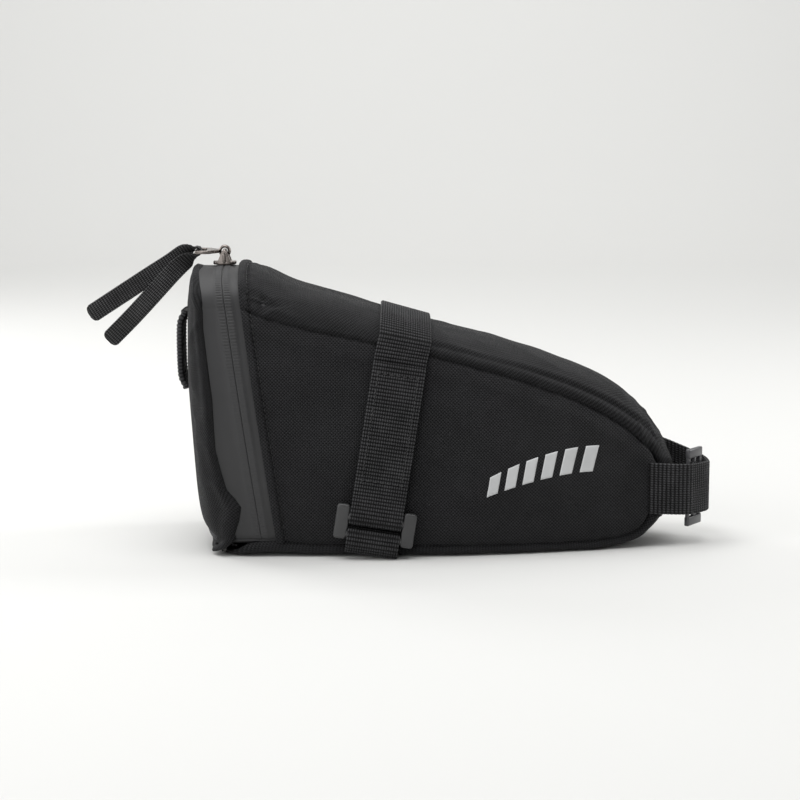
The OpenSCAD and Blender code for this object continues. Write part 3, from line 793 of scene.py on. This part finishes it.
def gussetPiece(name, node, kLow, kHigh, rows, seed, top):
    q = topSettings
    k = np.linspace(kLow, kHigh, rows)
    if top:
        k = np.concatenate([np.linspace(0, 0.7, 26)[:-1], np.linspace(0.7, kHigh, rows - 25)])
    grid = gussetGrid(k, packed(120, 90, -90, 0.4))
    across, along = gridLengths(grid, 1), gridLengths(grid, 0)
    seam = np.minimum(across, across[:, -1:] - across)
    swell = -q["seamRoll"] * bump(seam, 0, 1.1)
    swell += q["pucker"] * fold(grid, (5, 30, 7), seed) * np.exp(-seam / 6)
    if top:
        x = grid[..., 0]
        share = step(x, -40, 30) * (1 - step(x, 104, 118)) * (0.75 + 0.5 * fold(grid, (30, 60, 60), seed + 5))
        roll = q["rollHeight"] + 1.2 * fold(grid, (40, 80, 80), seed + 4)
        swell += share * (0.5 * bump(seam, roll - 3, 2) - q["crease"] * bump(seam, roll, 1.5)
                          + 0.45 * bump(seam, roll + 2.6, 1.8))
        swell += q["sway"] * fold(grid, (38, 30, 60), seed + 1) * step(seam, 3, 16) * step(along, 4, 20)
        swell += 0.4 * fold(grid, (15, 14, 40), seed + 2) * step(seam, 2, 9)
        # the corner beside the mouth, where the gusset is drawn in over the zip's bend
        corner = bump(along, 11, 7) * bump(seam, 8, 4.5)
        swell -= q["dent"] * corner * (0.8 + 0.6 * fold(grid, (4, 9, 6), seed + 6))
        swell += 0.8 * bump(along, 21, 6) * bump(seam, 4.5, 2.2)
        swell += 0.9 * creases(grid, (9, 11, 5), seed + 8) * bump(along, 14, 11) * bump(seam, 6, 7)
        swell += 0.3 * creases(grid, (21, 12, 30), seed + 9) * step(seam, 2, 9)
        swell += hemShape(along, across, grid[..., [0, 2, 1]], seed + 3)
        # gathers where the seatpost strap is sewn in at the nose
        swell += 0.7 * fold(grid, (30, 5, 5), seed + 7) * step(x, 100, 110) * step(seam, 1, 4)
        swell += 0.8 * creases(grid, (7, 8, 9), seed + 10) * step(x, 98, 104) * (1 - step(x, 108, 114))
    else:
        swell *= step(k, kLow, kLow + 0.15)[:, None] * 0.9 + 0.1
        swell += 0.5 * fold(grid, (14, 26, 26), seed + 1) * bump(seam, 5, 4) + 0.5 * bump(seam, 3.4, 2.2)
    probe, way = (rows // 3, 60), (0, 0, 1 if top else -1)
    grid = swollen(grid, swell, probe, way)
    grid[..., 2] = np.maximum(grid[..., 2], 0.0)
    grid, uv = turnedOut(grid, probe, way, np.stack([along, across - across[:, -1:] / 2], axis=2))
    piece = clothShell(name, grid, bagShape["cloth"], shellCloth, uv)
    assign(piece, "bag", node)


gussetPiece("topGusset", "top_panel", 0, noseLow, 230, 23, True)
gussetPiece("bottomGusset", "bottom_panel", noseLow + 0.02, 21, 150, 31, False)
print("gussets done")

# rear flap
flapSettings = {"roll": 1.5, "rollAt": 4.5, "tuck": 1.7, "gather": 0.6, "sway": 1.1, "crease": 0.6,
                "edgeWave": [[0, 0], [10.4, -2.7], [17, 0.5], [23.3, 2.4], [27, 0.5], [31.8, -3.0],
                             [40, -4.2], [51, -5.2], [62, -4.2], [74.7, -2.9], [90, -2.6], [108, -2.2],
                             [120, -0.8], [137, 0]]}


def edgeWave(y, z):
    # how far the flap's fabric edge wanders along the bag, more on the near side
    wave = np.interp(z, *np.array(flapSettings["edgeWave"]).T)
    return wave * np.where(y < 0, 1.0, 0.6) * step(np.abs(y), 18, 38)


def rearFlap():
    q = flapSettings
    grid = flapGrid(packed(150, 90, -90, 0.8), evenRise(170, -1, 1, 0.4))
    z = grid[..., 2]
    across, up = gridLengths(grid, 1), gridLengths(grid, 0)
    rim = np.minimum(np.minimum(across, across[:, -1:] - across), up[-1:] - up)
    # the fabric's edge wanders over the zip tape
    grid[..., 0] += edgeWave(grid[..., 1], z) * np.exp(-rim / 9)
    # the foot is drawn in above the hinge
    grid[..., 0] += 2.8 * bump(z, 7, 5) * step(rim, 2, 12)
    top = step(z, 116, 131)
    swell = q["roll"] * (1 - top) * bump(rim, q["rollAt"], 3.2) - q["tuck"] * bump(rim, 0, 1.1) - 0.7 * top
    swell += (q["crease"] * creases(grid, (9, 12, 15), 44) * step(rim, 1.5, 5) * (1 - step(rim, 12, 26))
              * (1 - top))
    swell += q["gather"] * fold(grid, (9, 9, 6.5), 41) * step(rim, 1, 5) * (1 - step(up, 10, 30))
    swell += 0.6 * fold(grid, (12, 10, 40), 42) * step(rim, 2, 9) * (1 - step(rim, 14, 34))
    swell += q["sway"] * fold(grid, (60, 32, 45), 43) * step(rim, 4, 16)
    probe, way = (75, 75), (-1, 0, 0)
    grid = swollen(grid, swell * step(up, 0, 5), probe, way, softened(gridNormals(grid), 10))
    grid, uv = turnedOut(grid, probe, way, np.stack([across - across[:, -1:] / 2, up], axis=2))
    piece = clothShell("rearFlapPanel", grid, bagShape["cloth"], shellCloth, uv)
    assign(piece, "flap", "rear_panel")


rearFlap()


def hingeStrip():
    # the bit of cloth at the flap's hinge, between the bottom gusset and the flap
    t = np.linspace(0, 1, 24)
    y = np.linspace(-40.5, 40.5, 60)
    x = mix(-91, -101.5, t)
    z = 0.55 + 0.6 * np.sin(np.pi * t) ** 2 + 0.9 * t
    grid = np.stack(np.broadcast_arrays(x[:, None], y[None], z[:, None]), axis=2)
    grid[..., 2] += 0.0022 * np.abs(grid[..., 1]) ** 2 * step(np.abs(grid[..., 1]), 24, 37)
    grid = turnedOut(grid, (12, 30), (0, 0, -1))
    piece = clothShell("flapHingeCloth", grid, 0.8, shellCloth, grid[..., :2])
    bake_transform(piece)


hingeStrip()
print("flap done")

# zip
zipSettings = {"toothPitch": 1.5, "imprint": 0.17, "chain": 3.4, "arch": 0.45, "slit": 0.06, "tape": 0.8}


def zipBand(name, node, body, low, high, toward):
    # one half of the tape with its film; low and high are distances from the zip's middle line
    q = zipSettings
    line, along = hoopLine(0.3, 4.3)
    share = np.concatenate([np.linspace(0, 0.3, 22), np.linspace(0.34, 1, 14)])
    reach = high + (footReach(line[:, 1]) - edgeWave(line[:, 0], line[:, 1]) if toward < 0 else 0 * along)
    side = (low + (reach[:, None] - low) * share[None]) * toward
    y = np.broadcast_to(line[:, 0][:, None], side.shape)
    z = np.broadcast_to(line[:, 1][:, None], side.shape)
    grid = np.stack([zipX(z) + side, y, z], axis=2)
    d = np.abs(side)
    swell = -zipShape["inset"] + q["arch"] * (1 - step(d, q["chain"] - 0.8, q["chain"] + 1.6))
    swell = swell - 0.15 * bump(d, low, 0.25)
    # the coil shows through most where the zip bends over the top
    tooth = np.cos(2 * np.pi * along / q["toothPitch"])[:, None] * (0.35 + 0.65 * step(z, 70, 120))
    chain = step(d, 0.45, 0.9) * (1 - step(d, q["chain"] - 0.5, q["chain"] + 0.2))
    swell = swell + q["imprint"] * tooth * chain
    swell = swell + 0.35 * fold(grid, (14, 14, 22), 51) * step(d, 3, 6)
    # drawn in at the foot, behind the bottom gusset's edge
    swell = swell - 1.0 * (1 - step(z, 5.5, 10))
    middle, way = len(line) // 2, (0, 0, 1)
    grid = turnedOut(swollen(grid, swell, (middle, 4), way), (middle, 10), way)
    piece = clothShell(name, grid, q["tape"], zipFilm, clothUv(grid))
    assign(piece, body, node)


zipBand("zipFilmFront", "zip_tape_front", "bag", zipSettings["slit"], 9.5, 1)
zipBand("zipFilmRear", "zip_tape_rear", "flap", zipSettings["slit"], 11.5, -1)


def zipCoil(name, node, body, offset, foot):
    # the nylon coil on the tape's inner side, turn by turn; the two coils lie half a turn apart and mesh
    line = hoopLine(2.0, foot)[0]
    run = unit(np.gradient(line, axis=0))
    inward = np.stack([run[:, 1], -run[:, 0]], axis=1)
    deep = line + inward * (zipShape["inset"] + zipSettings["tape"] + 0.75)
    path = np.stack([zipX(deep[:, 1]) + offset, deep[:, 0], deep[:, 1]], axis=1)
    piece = rowPiece(name, [path], zipSettings["toothPitch"], (2.9, 0.9, 1.5), nylonCoil,
                     lie=(1, 0, -zipShape["lean"]), along=False)
    assign(piece, body, node)


zipCoil("zipCoilFront", "zip_coil_front", "bag", 1.28, 9.0)
zipCoil("zipCoilRear", "zip_coil_rear", "flap", -1.28, 9.0 + zipSettings["toothPitch"] / 2)
print("zip done")

# rail strap
tilt = math.radians(strapShape["tilt"])
strapAcross = np.array([math.cos(tilt), 0, -math.sin(tilt)])


def strapX(z):
    return strapShape["footX"] + z * math.tan(tilt)


def strapY(z):
    return wallShare((z - 5) / 94) * bagShape["half"]


def strapPoint(y, h):
    # the strap's own frame: h mm up along it
    return np.stack([strapShape["footX"] + h * math.sin(tilt), y, h * math.cos(tilt)], axis=-1)


ringShape = {"y": -49.2, "low": 10.3, "high": 18.5, "middle": 16.0, "height": 16.5, "bar": 1.75, "wrap": 2.05,
             "width": 38.0, "side": 6.2, "thick": 3.6}
# how far each layer of the closed strap stands off the bag
layerGaps = {"strap": 0.8, "loopTape": 2.45, "hookTape": 3.25, "tail": 3.8}


def strapPiece(name, node, body, path, across):
    piece = strapBand(name, path, across, strapShape["width"], strapShape["thick"], webbing,
                      webSettings["ribPitch"])
    assign(piece, body, node)


def railStrap():
    q, gap = strapShape, layerGaps["strap"]
    z = np.linspace(q["low"], q["shoulder"], 40)
    far = np.stack([strapX(z), strapY(z) + gap, z], axis=1)
    a = np.radians(np.linspace(72, -72, 60))
    over = np.stack([np.full(60, strapX(108)),
                     *topArc(a, q["seamZ"], q["crownZ"], gap)], axis=1)
    zNear = np.linspace(q["shoulder"], q["nearEnd"], 30)
    near = np.stack([strapX(zNear), -strapY(zNear) - gap, zNear], axis=1)
    crownAcross = np.array([1, 0, -0.28]) / math.hypot(1, 0.28)
    bend = mix(strapAcross, crownAcross, arcUp(a, zipShape["topPower"])[:, None])
    lean = [strapAcross] * 40 + list(bend) + [strapAcross] * 30
    strapPiece("railStrap", "rail_strap", "bag", np.concatenate([far, over, near]), -np.array(lean))


railStrap()


def loopPath(points):
    # a smooth path in the strap's frame from y and h pairs
    t = np.linspace(0, len(points) - 1, len(points) * 12)
    p = smoothPath([[y, h, 0] for y, h in points], t)
    return strapPoint(p[:, 0], p[:, 1])


def ringArc(height, low, high, count):
    t = np.radians(np.linspace(low, high, count))
    y, r = ringShape["y"], ringShape["wrap"]
    return [[y + r * math.cos(a), height + r * math.sin(a)] for a in t]


def anchorLoop():
    y = ringShape["y"]
    points = [[y + 2.6, 2.2], [y + 2.2, 6]] + ringArc(ringShape["low"], 0, 180, 7)
    points += [[y - 1.9, 6.4], [y + 1.4, 2.2]]
    strapPiece("strapAnchorLoop", "strap_anchor_loop", "bag", loopPath(points)[::-1], strapAcross)


anchorLoop()
tapeHeights = [38, 47, 56, 65, 74, 83]
pileThick = 0.45


def strapTail():
    gap = layerGaps["tail"]
    points = ringArc(ringShape["high"], 10, -180, 8) + [[ringShape["y"] - 2.1, ringShape["high"] + 3.5]]
    points += [[-strapY(h) - gap - (0.7 if h < 34 else 0), h] for h in (30, *tapeHeights, 92)]
    strapPiece("railStrapTail", "rail_strap_tail", "strap_tail", loopPath(points)[::-1], -strapAcross)
    # sewn all round, where the hook tape's edges lie behind it
    low, high, wide = 37, 87.5, 9.4
    h = np.linspace(low, high, 30)
    face = gap + strapShape["thick"] + 0.22
    edge = [strapPoint(-strapY(h) - face, h) + strapAcross * side * wide for side in (-1, 1)]
    for height in (low, high):
        one = strapPoint(np.array([-strapY(height) - face]), np.array([height]))[0]
        edge.append(np.array([one + strapAcross * s for s in np.linspace(-wide, wide, 12)]))
    stitches("tailStitches", edge, "strap_tail", webThread)


strapTail()


def pileTape(name, node, body, offset):
    # hook-and-loop: a woven back with its field of fibres
    h = np.linspace(tapeHeights[0], tapeHeights[-1], 60)
    s = np.linspace(-11, 11, 30)
    grid = strapPoint(-strapY(h) - offset, h)[:, None] + s[None, :, None] * strapAcross
    rough = 0.12 * fold(grid, (0.9, 0.9, 0.9), 61)
    grid = grid + np.array([0, -1, 0]) * rough[..., None]
    grid = turnedOut(grid, (30, 15), (0, -1, 0))
    piece = clothShell(name, grid, pileThick, hookPile, clothUv(grid))
    assign(piece, body, node)


pileTape("strapLoopPile", "strap_loop_tape", "bag", layerGaps["loopTape"] + pileThick)
pileTape("strapHookPile", "strap_hook_tape", "strap_tail", layerGaps["hookTape"] + pileThick)


def strapRing():
    q = ringShape
    middle = (q["width"] - q["side"]) / 2

    def place(p):
        local = strapPoint(q["y"] + p[:, 2], p[:, 1] + q["middle"])
        return local + p[:, :1] * strapAcross

    plates = [roundedLoop(q["side"], q["height"], 1.5, (side * middle, 0)) for side in (-1, 1)]
    piece = outlinePiece("strapRing", plates, q["thick"], 0.75, place, ringPlastic)
    assign(piece, "ring", "strap_ring")
    for name, height in (("ringLowBar", q["low"]), ("ringHighBar", q["high"])):
        ends = strapPoint(np.array([q["y"]]), np.array([height])) + strapAcross * [[-middle], [0], [middle]]
        tube(name, ends, q["bar"], (0, 1, 0), ringPlastic, "ring", None, count=28)


strapRing()
print("rail strap done")

# seatpost loop
loopSettings = {"path": [[107.5, -22.6, 29], [118, -22, 28.4], [126, -19.5, 27.9], [129.5, -15.5, 27.5],
                         [136.5, -5.5, 26.9], [138.2, 1, 26.8], [136.5, 9, 27.8], [129, 17.5, 30.6],
                         [119, 21.6, 34.4], [107.5, 22.6, 38]],
                "width": 25.0, "thick": 1.4, "ribPitch": 2.0}
buckleShape = {"mid": [133, -10.5, 27.4], "turn": math.atan2(10, 7), "width": 14.0, "height": 38.0,
               "bar": 2.2, "barThick": 1.6, "rim": 4.6, "rimThick": 2.4, "inwards": 2.8, "sewn": 1.5}


def seatpostLoop():
    q = loopSettings
    path = smoothPath(q["path"], np.linspace(0, 9, 200))
    piece = strapBand("seatpostStrap", path, (0, 0, -1), q["width"], q["thick"], postWebbing, q["ribPitch"])
    assign(piece, "bag", "seatpost_strap")


seatpostLoop()


def bucklePlace(p):
    # from the buckle's own frame: along the webbing, inwards from its inner face, and up
    q = buckleShape
    run = np.array([math.cos(q["turn"]), math.sin(q["turn"]), 0])
    inward = np.array([-run[1], run[0], 0])
    return np.array(q["mid"]) + p[:, :1] * run + p[:, 1:2] * inward + p[:, 2:3] * [0, 0, 1]


def seatpostBuckle():
    q = buckleShape
    boxes = [((0, q["inwards"], side * (q["height"] - q["rim"]) / 2), (q["width"], q["rimThick"], q["rim"]))
             for side in (-1, 1)]
    reach = (q["width"] - q["bar"]) / 2
    bar = (q["bar"], q["barThick"], q["height"] - q["rim"])
    boxes += [((x, q["inwards"], 0), bar) for x in (-reach, 0, reach)]
    work = bmesh.new()
    for middle, size in boxes:
        made = bmesh.ops.create_cube(work, size=1.0)["verts"]
        for v in made:
            v.co = Vector([m + c * w for m, c, w in zip(middle, v.co, size)])
        edges = list({e for v in made for e in v.link_edges})
        bmesh.ops.bevel(work, geom=edges, offset=min(0.6, min(size) * 0.3), segments=3, affect="EDGES",
                        profile=0.5)
    points = bucklePlace(np.array([v.co[:] for v in work.verts]))
    work.verts.ensure_lookup_table()
    faces = [[v.index for v in f.verts] for f in work.faces]
    work.free()
    piece = newPiece("seatpostBuckle", points, faces, bucklePlastic)
    cleanMesh(piece)
    assign(piece, "buckle", "seatpost_buckle")
    # the webbing's sewn end round the middle bar
    r = q["sewn"]
    t = np.radians(np.linspace(90, -90, 14))
    nose = [[r * math.cos(a), q["inwards"] + r * math.sin(a), 0] for a in t]
    path = [[-5, q["inwards"] + r, 0], [-2.5, q["inwards"] + r, 0]] + nose
    path += [[-2.5, q["inwards"] - r, 0], [-5, q["inwards"] - r, 0]]
    end = strapBand("buckleWebbingEnd", bucklePlace(np.array(path)), (0, 0, -1), loopSettings["width"], 0.9,
                    postWebbing, loopSettings["ribPitch"], 0.2)
    assign(end, "buckle", "buckle_loop")


seatpostBuckle()
print("seatpost loop done")


# light loop
def lightLoop():
    heights = [113.5, 111.5, 109, 105, 95, 85, 80.5, 78.2, 76.2]
    lift = [0.1, 0.7, 2.1, 2.7, 2.8, 2.7, 2.1, 0.7, 0.1]
    points = [[zipX(z) - zipShape["flapEdge"] - flapDepth(z) - up, 0, z] for up, z in zip(lift, heights)]
    path = smoothPath(points, np.linspace(0, 8, 90))
    piece = strapBand("lightLoop", path, (0, 1, 0), 20.0, 2.9, webbing, webSettings["ribPitch"])
    assign(piece, "flap", "light_loop")
    tacks = []
    for at, rise in ((0, 0), (0, -1), (8, 0), (8, 1)):
        x, _, z = points[at]
        tacks.append(np.array([[x - 3.2, y, z + rise] for y in np.linspace(-8.5, 8.5, 10)]))
    bar = rowPiece("lightLoopTacks", tacks, 0.75, (1.3, 0.6, 0.5), webThread, lie=(0, 0, 1), along=False)
    assign(bar, "flap")


lightLoop()
print("light loop done")

# slider, tab and ribbon
pullShape = {"x": float(zipX(zipShape["topZ"])), "z": 142.2, "top": 135.0, "tab": 13.5, "wire": 1.2,
             "tabRoll": math.radians(4), "ribbon": 9.0, "ribbonThick": 0.9}


def sliderBody():
    q = pullShape
    for name, z, thick, node in (("sliderTopPlate", q["top"] + 1.7, 1.6, "slider_plates"),
                                 ("sliderLowPlate", q["top"] - 3.75, 1.1, None)):
        # a rounded oblong
        long, wide, n = 5.6, 4.6, 3.4
        loop = []
        for t in np.radians(np.arange(0, 360, 6)):
            r = (abs(math.cos(t) / long) ** n + abs(math.sin(t) / wide) ** n) ** (-1 / n)
            loop.append((r * math.cos(t), r * math.sin(t)))

        def place(p, z=z):
            crown = -0.012 * p[:, 1] ** 2
            return np.stack([q["x"] + p[:, 0], p[:, 1], z + p[:, 2] + crown], axis=1)

        plate = outlinePiece(name, [loop], thick, 0.38, place, metalPlate)
        assign(plate, "slider", node)
    # the arch that the tab hangs on, its cheeks, and the blade between the plates
    rise = q["z"] - q["top"] - 1.4
    arch = [[0, -3.6, 0], [0, -3.7, rise * 0.6], [0, -3.1, rise * 0.93], [0, -2.2, rise], [0, 2.2, rise],
            [0, 3.1, rise * 0.93], [0, 3.7, rise * 0.6], [0, 3.6, 0]]
    path = smoothPath(arch, np.linspace(0, 7, 60)) + [q["x"], 0, q["top"] + 1.4]
    tube("sliderBridge", path, q["wire"], (1, 0, 0), metalPlate, "slider", "slider_bridge",
         flat=0.95)
    foot, height = 3.6, rise - 0.6
    cheek = [(-foot, -0.4), (foot, -0.4), (foot - 0.6, 1.4), (1.5, height), (-1.5, height),
             (0.6 - foot, 1.4)]
    for name, side in (("sliderCheekNear", -1), ("sliderCheekFar", 1)):
        def stand(p, side=side):
            return np.stack([q["x"] + p[:, 0], side * 3.75 + p[:, 2], q["top"] + 1.5 + p[:, 1]], axis=1)

        piece = outlinePiece(name, [cheek], 1.5, 0.4, stand, metalPlate)
        assign(piece, "slider")
    blade = np.array([[q["x"], 0, q["top"] - 3.8], [q["x"], 0, q["top"] + 1.0]])
    tube("sliderBlade", blade, 1.6, (0, 1, 0), metalPlate, "slider", None, flat=0.03)


sliderBody()


def pullTab():
    q = pullShape
    # plan of the tab behind its eye, which is at x = 0; the ribbon's slot is at the other end
    half = [(-2.0, 0.0), (-2.05, 1.2), (-2.7, 2.1), (-4.4, 3.4), (-7.2, 5.9), (-9.2, 6.5), (-13.2, 6.5),
            (-14.2, 5.8)]
    outer = half + [(x, -y) for x, y in half[:0:-1]]
    slot = roundedLoop(4.0, 9.8, 0.7, (-10.8, 0))

    def place(p):
        rise = p[:, 1] * math.sin(q["tabRoll"]) + p[:, 2] * math.cos(q["tabRoll"])
        return np.stack([q["x"] + p[:, 0], p[:, 1], q["z"] + rise], axis=1)

    piece = outlinePiece("pullTab", [outer, slot[::-1]], 1.6, 0.4, place, metalPlate)
    assign(piece, "pull_tab", "pull_tab")
    # the eye's ring round the bridge
    t = np.radians(np.linspace(0, 350, 36))
    ring = np.array([[q["x"] + 2.3 * math.cos(a), 0, q["z"] + 2.3 * math.sin(a)] for a in t])
    ring = np.concatenate([ring, ring[:1]])
    tube("pullTabEye", ring, 1.3, (0, 1, 0), metalPlate, "pull_tab", None, flat=0.58)


pullTab()


def pullRibbon():
    q = pullShape
    # middle line of each tail with its turn in degrees: it twists so that its face shows
    upper = [[-165.4, 110.6, -90], [-149.7, 120.8, -90], [-135.5, 130, -90], [-126, 136, -90],
             [-121.5, 139, -84], [-118, 141.2, -62], [-115.2, 142.7, -30]]
    lower = [[-115.4, 140.1, 30], [-118, 137.9, 62], [-121, 135, 84], [-125.5, 130.2, 90], [-133, 122, 90],
             [-144, 110.2, 90], [-156.1, 98.1, 90]]
    barX, barZ, r = q["x"] - q["tab"], q["z"], 1.4
    angles = np.radians(np.arange(110, -71, -30))
    turn = [[barX + r * math.cos(a), barZ + r * math.sin(a), 0] for a in angles]
    line = np.array(upper + turn + lower)
    run = unit(np.gradient(line[:, :2], axis=0))
    twist = np.radians(line[:, 2])
    side = np.stack([np.sin(twist) * run[:, 1], -np.cos(twist), -np.sin(twist) * run[:, 0]], axis=1)
    ahead = np.stack([run[:, 0], 0 * twist, run[:, 1]], axis=1)
    path = np.stack([line[:, 0], 0 * twist, line[:, 1]], axis=1)
    path = path + np.abs(line[:, 2:]) / 90 * 0.9 * np.cross(side, ahead)
    t = np.linspace(0, len(line) - 1, 260)
    piece = strapBand("pullRibbon", smoothPath(path, t), smoothPath(side, t), q["ribbon"], q["ribbonThick"],
                      ribbonCloth, 1.4, 0.34, endRadius=2.8)
    assign(piece, "pull_ribbon", "pull_ribbon")


pullRibbon()
print("slider and pull done")

# reflective mark: plain slanted bars
markSettings = {"bars": 6, "barWidth": 0.62, "rise": 0.12, "slant": 0.1, "low": [0.285, 0.54],
                "high": [0.385, 0.735], "from": 4.05, "to": 5.72, "thick": 0.25}


def reflectiveMark():
    q = markSettings
    surface = bpy.data.objects["sidePanelNear"]
    tree = BVHTree.FromObject(surface, bpy.context.evaluated_depsgraph_get())
    points, faces = [], []
    rows, cols = 13, 9
    uAt = np.linspace(q["from"] - 0.2, q["to"] + 0.2, 60)
    xAt = smoothPath(seamPoints, uAt)[:, 0]
    first, last = smoothPath(seamPoints, [q["from"], q["to"]])[:, 0]
    for bar in range(q["bars"]):
        start = bar / (q["bars"] - 1 + q["barWidth"])
        wide = q["barWidth"] / (q["bars"] - 1 + q["barWidth"])
        t, f = np.meshgrid(np.linspace(0, 1, rows), np.linspace(0, 1, cols), indexing="ij")
        place = start + wide * f + q["slant"] * (t - 0.5) * 0.55
        u = np.interp(mix(first, last, place), xAt, uAt)
        s = mix(mix(q["low"][0], q["low"][1], place), mix(q["high"][0], q["high"][1], place), t)
        low, top = smoothPath(seamPoints, mouthLow - u), smoothPath(seamPoints, u)
        p = mix(low, top, s[..., None])
        skin = np.zeros((rows, cols, 3))
        for i in range(rows):
            for j in range(cols):
                hit = tree.ray_cast(Vector((p[i, j, 0] * mm, -0.1, p[i, j, 2] * mm)), Vector((0, 1, 0)))[0]
                skin[i, j] = (p[i, j, 0], hit.y / mm - q["rise"], p[i, j, 2])
        base = len(points)
        ids = base + np.arange(rows * cols).reshape(rows, cols)
        back = skin + [0, q["thick"], 0]
        points += skin.reshape(-1, 3).tolist() + back.reshape(-1, 3).tolist()
        faces += shellFaces(ids.T, rows * cols)
    piece = newPiece("reflectiveMark", points, faces, reflectiveFilm)
    assign(piece, "bag", "reflective_print")


reflectiveMark()


# topstitching along the mouth's folded edge, and inside parts
def onSkin(piece, points, towards, lift):
    # drops points on the piece along a direction and lifts them off it
    tree = BVHTree.FromObject(piece, bpy.context.evaluated_depsgraph_get())
    found = []
    for p in points:
        way = Vector(towards(p)).normalized()
        start = Vector([c * mm for c in p]) - way * 0.02
        hit, normal = tree.ray_cast(start, way)[:2]
        if hit is not None:
            found.append(np.array((hit + normal * lift * mm)[:]) / mm)
    return np.array(found)


def hemStitches():
    inFromZip = zipShape["bodyEdge"] + sideSettings["hem"] - 0.1
    z = np.linspace(9, 116, 90)
    y, h = topArc(np.radians(np.linspace(-80, 80, 90)), zipShape["seamZ"], zipShape["topZ"])
    rows = [("hemStitches" + side, "sidePanel" + side,
             np.stack([zipX(z) + inFromZip, sign * mouthY(z), z], axis=1), lambda p, s=sign: (0, -s, 0))
            for side, sign in (("Near", -1), ("Far", 1))]
    rows.append(("hemStitchesTop", "topGusset", np.stack([zipX(h) + inFromZip, y, h], axis=1),
                 lambda p: (0, -p[1], -30)))
    for name, panel, points, towards in rows:
        line = onSkin(bpy.data.objects[panel], points, towards, 0.05)
        stitches(name, [line], "bag", blackThread)


hemStitches()


def foamBoard(name, node, body, grid, way, probe):
    # a foam board under its lining, its edges drawn in by the binding
    across, along = gridLengths(grid, 1), gridLengths(grid, 0)
    rim = np.minimum(np.minimum(across, across[:, -1:] - across), np.minimum(along, along[-1:] - along))
    inside = 1.5 + 1.0 * bump(rim, 0, 1.5)
    grid = turnedOut(swollen(grid, -inside, probe, way), probe, way)
    piece = clothShell(name, grid, 1.9, liningCloth, clothUv(grid))
    assign(piece, body, node)


sideInner = sideGrid(np.linspace(0.75, 7.3, 60), np.linspace(0.06, 0.94, 40))
foamBoard("sideBoardNear", "side_stiffener_near", "bag", sideInner, (0, -1, 0), (20, 20))
foamBoard("sideBoardFar", "side_stiffener_far", "bag", sideInner * [1, -1, 1], (0, 1, 0), (20, 20))
foamBoard("bottomBoard", "bottom_stiffener", "bag",
          gussetGrid(np.linspace(12, 17.6, 40), np.linspace(55, -55, 24)), (0, 0, -1), (20, 12))
foamBoard("rearBoard", "rear_stiffener", "flap",
          flapGrid(np.linspace(62, -62, 40), evenRise(40, -0.96, 0.954, 1.0)), (-1, 0, 0), (20, 20))

for node, material in (("seam_tape_near", seamBinding), ("seam_tape_far", seamBinding),
                       ("zip_stops", metalPlate)):
    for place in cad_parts[node].material_slots:
        place.material = material
print("stitches and inside parts done")

# camera, floor and light
viewSettings = {"tilt": 8.0, "distance": 985.0, "aim": [-13.3, 0, 68.8], "lens": 90.0}


def setCamera():
    q = viewSettings
    t = math.radians(q["tilt"])
    ahead = Vector((0, math.cos(t), -math.sin(t)))
    data = bpy.data.cameras.new("camera")
    data.lens = q["lens"]
    data.sensor_width = 36
    camera = addObject("camera", data)
    camera.location = Vector(q["aim"]) * mm - ahead * q["distance"] * mm
    camera.rotation_euler = (math.radians(90 - q["tilt"]), 0, 0)
    bpy.context.scene.camera = camera


setCamera()


def softLight(name, place, aim, size, power):
    data = bpy.data.lights.new(name, "AREA")
    data.shape = "RECTANGLE"
    data.size, data.size_y = size
    data.energy = power
    lamp = addObject(name, data)
    lamp.location = place
    lamp.rotation_euler = (Vector(aim) - Vector(place)).to_track_quat("-Z", "Y").to_euler()


softLight("topSoftbox", (-0.15, -0.15, 1.2), (0, 0, 0.06), (1.2, 0.9), 13)
softLight("frontFill", (-0.6, -1.5, 0.45), (0, 0, 0.05), (1.0, 0.9), 4.5)
softLight("leftSoftbox", (-1.3, -0.5, 0.7), (-0.05, 0, 0.07), (0.6, 0.8), 6)
softLight("backdropWash", (0, 1.4, 2.2), (0, 2.8, 0.8), (3.0, 0.5), 45)
softLight("rightRim", (1.2, 0.35, 0.6), (0, 0, 0.06), (0.4, 0.8), 7)
softLight("backLight", (-1.0, 0.8, 0.6), (0, 0, 0.08), (0.5, 0.6), 6)

world = bpy.data.worlds.new("studio")
world.use_nodes = True
world.node_tree.nodes["Background"].inputs["Color"].default_value = hexColour("e6e6e6")
world.node_tree.nodes["Background"].inputs["Strength"].default_value = 0.32
bpy.context.scene.world = world


def paleFloor():
    # flat floor that curves up into a backdrop far behind the bag
    t = np.radians(np.linspace(-90, 0, 24))
    line = [(-4.0, 0.0), (1.2, 0.0)] + [(1.8 + math.cos(a), 1.0 + math.sin(a)) for a in t] + [(2.8, 4.5)]
    points = [(x, y, z - 0.0004) for x in (-5, 5) for y, z in line]
    n = len(line)
    mesh = bpy.data.meshes.new("floor")
    mesh.from_pydata(points, [], [(i, i + n, i + n + 1, i + 1) for i in range(n - 1)])
    mesh.polygons.foreach_set("use_smooth", [True] * (n - 1))
    material, _, shader = newMaterial("paleFloor")
    shader.inputs["Base Color"].default_value = hexColour("d6d6d4")
    setShader(shader, roughness=0.85)
    mesh.materials.append(material)
    addObject("floor", mesh)


paleFloor()
bpy.context.scene.view_settings.view_transform = "Standard"
print("camera and light ready")
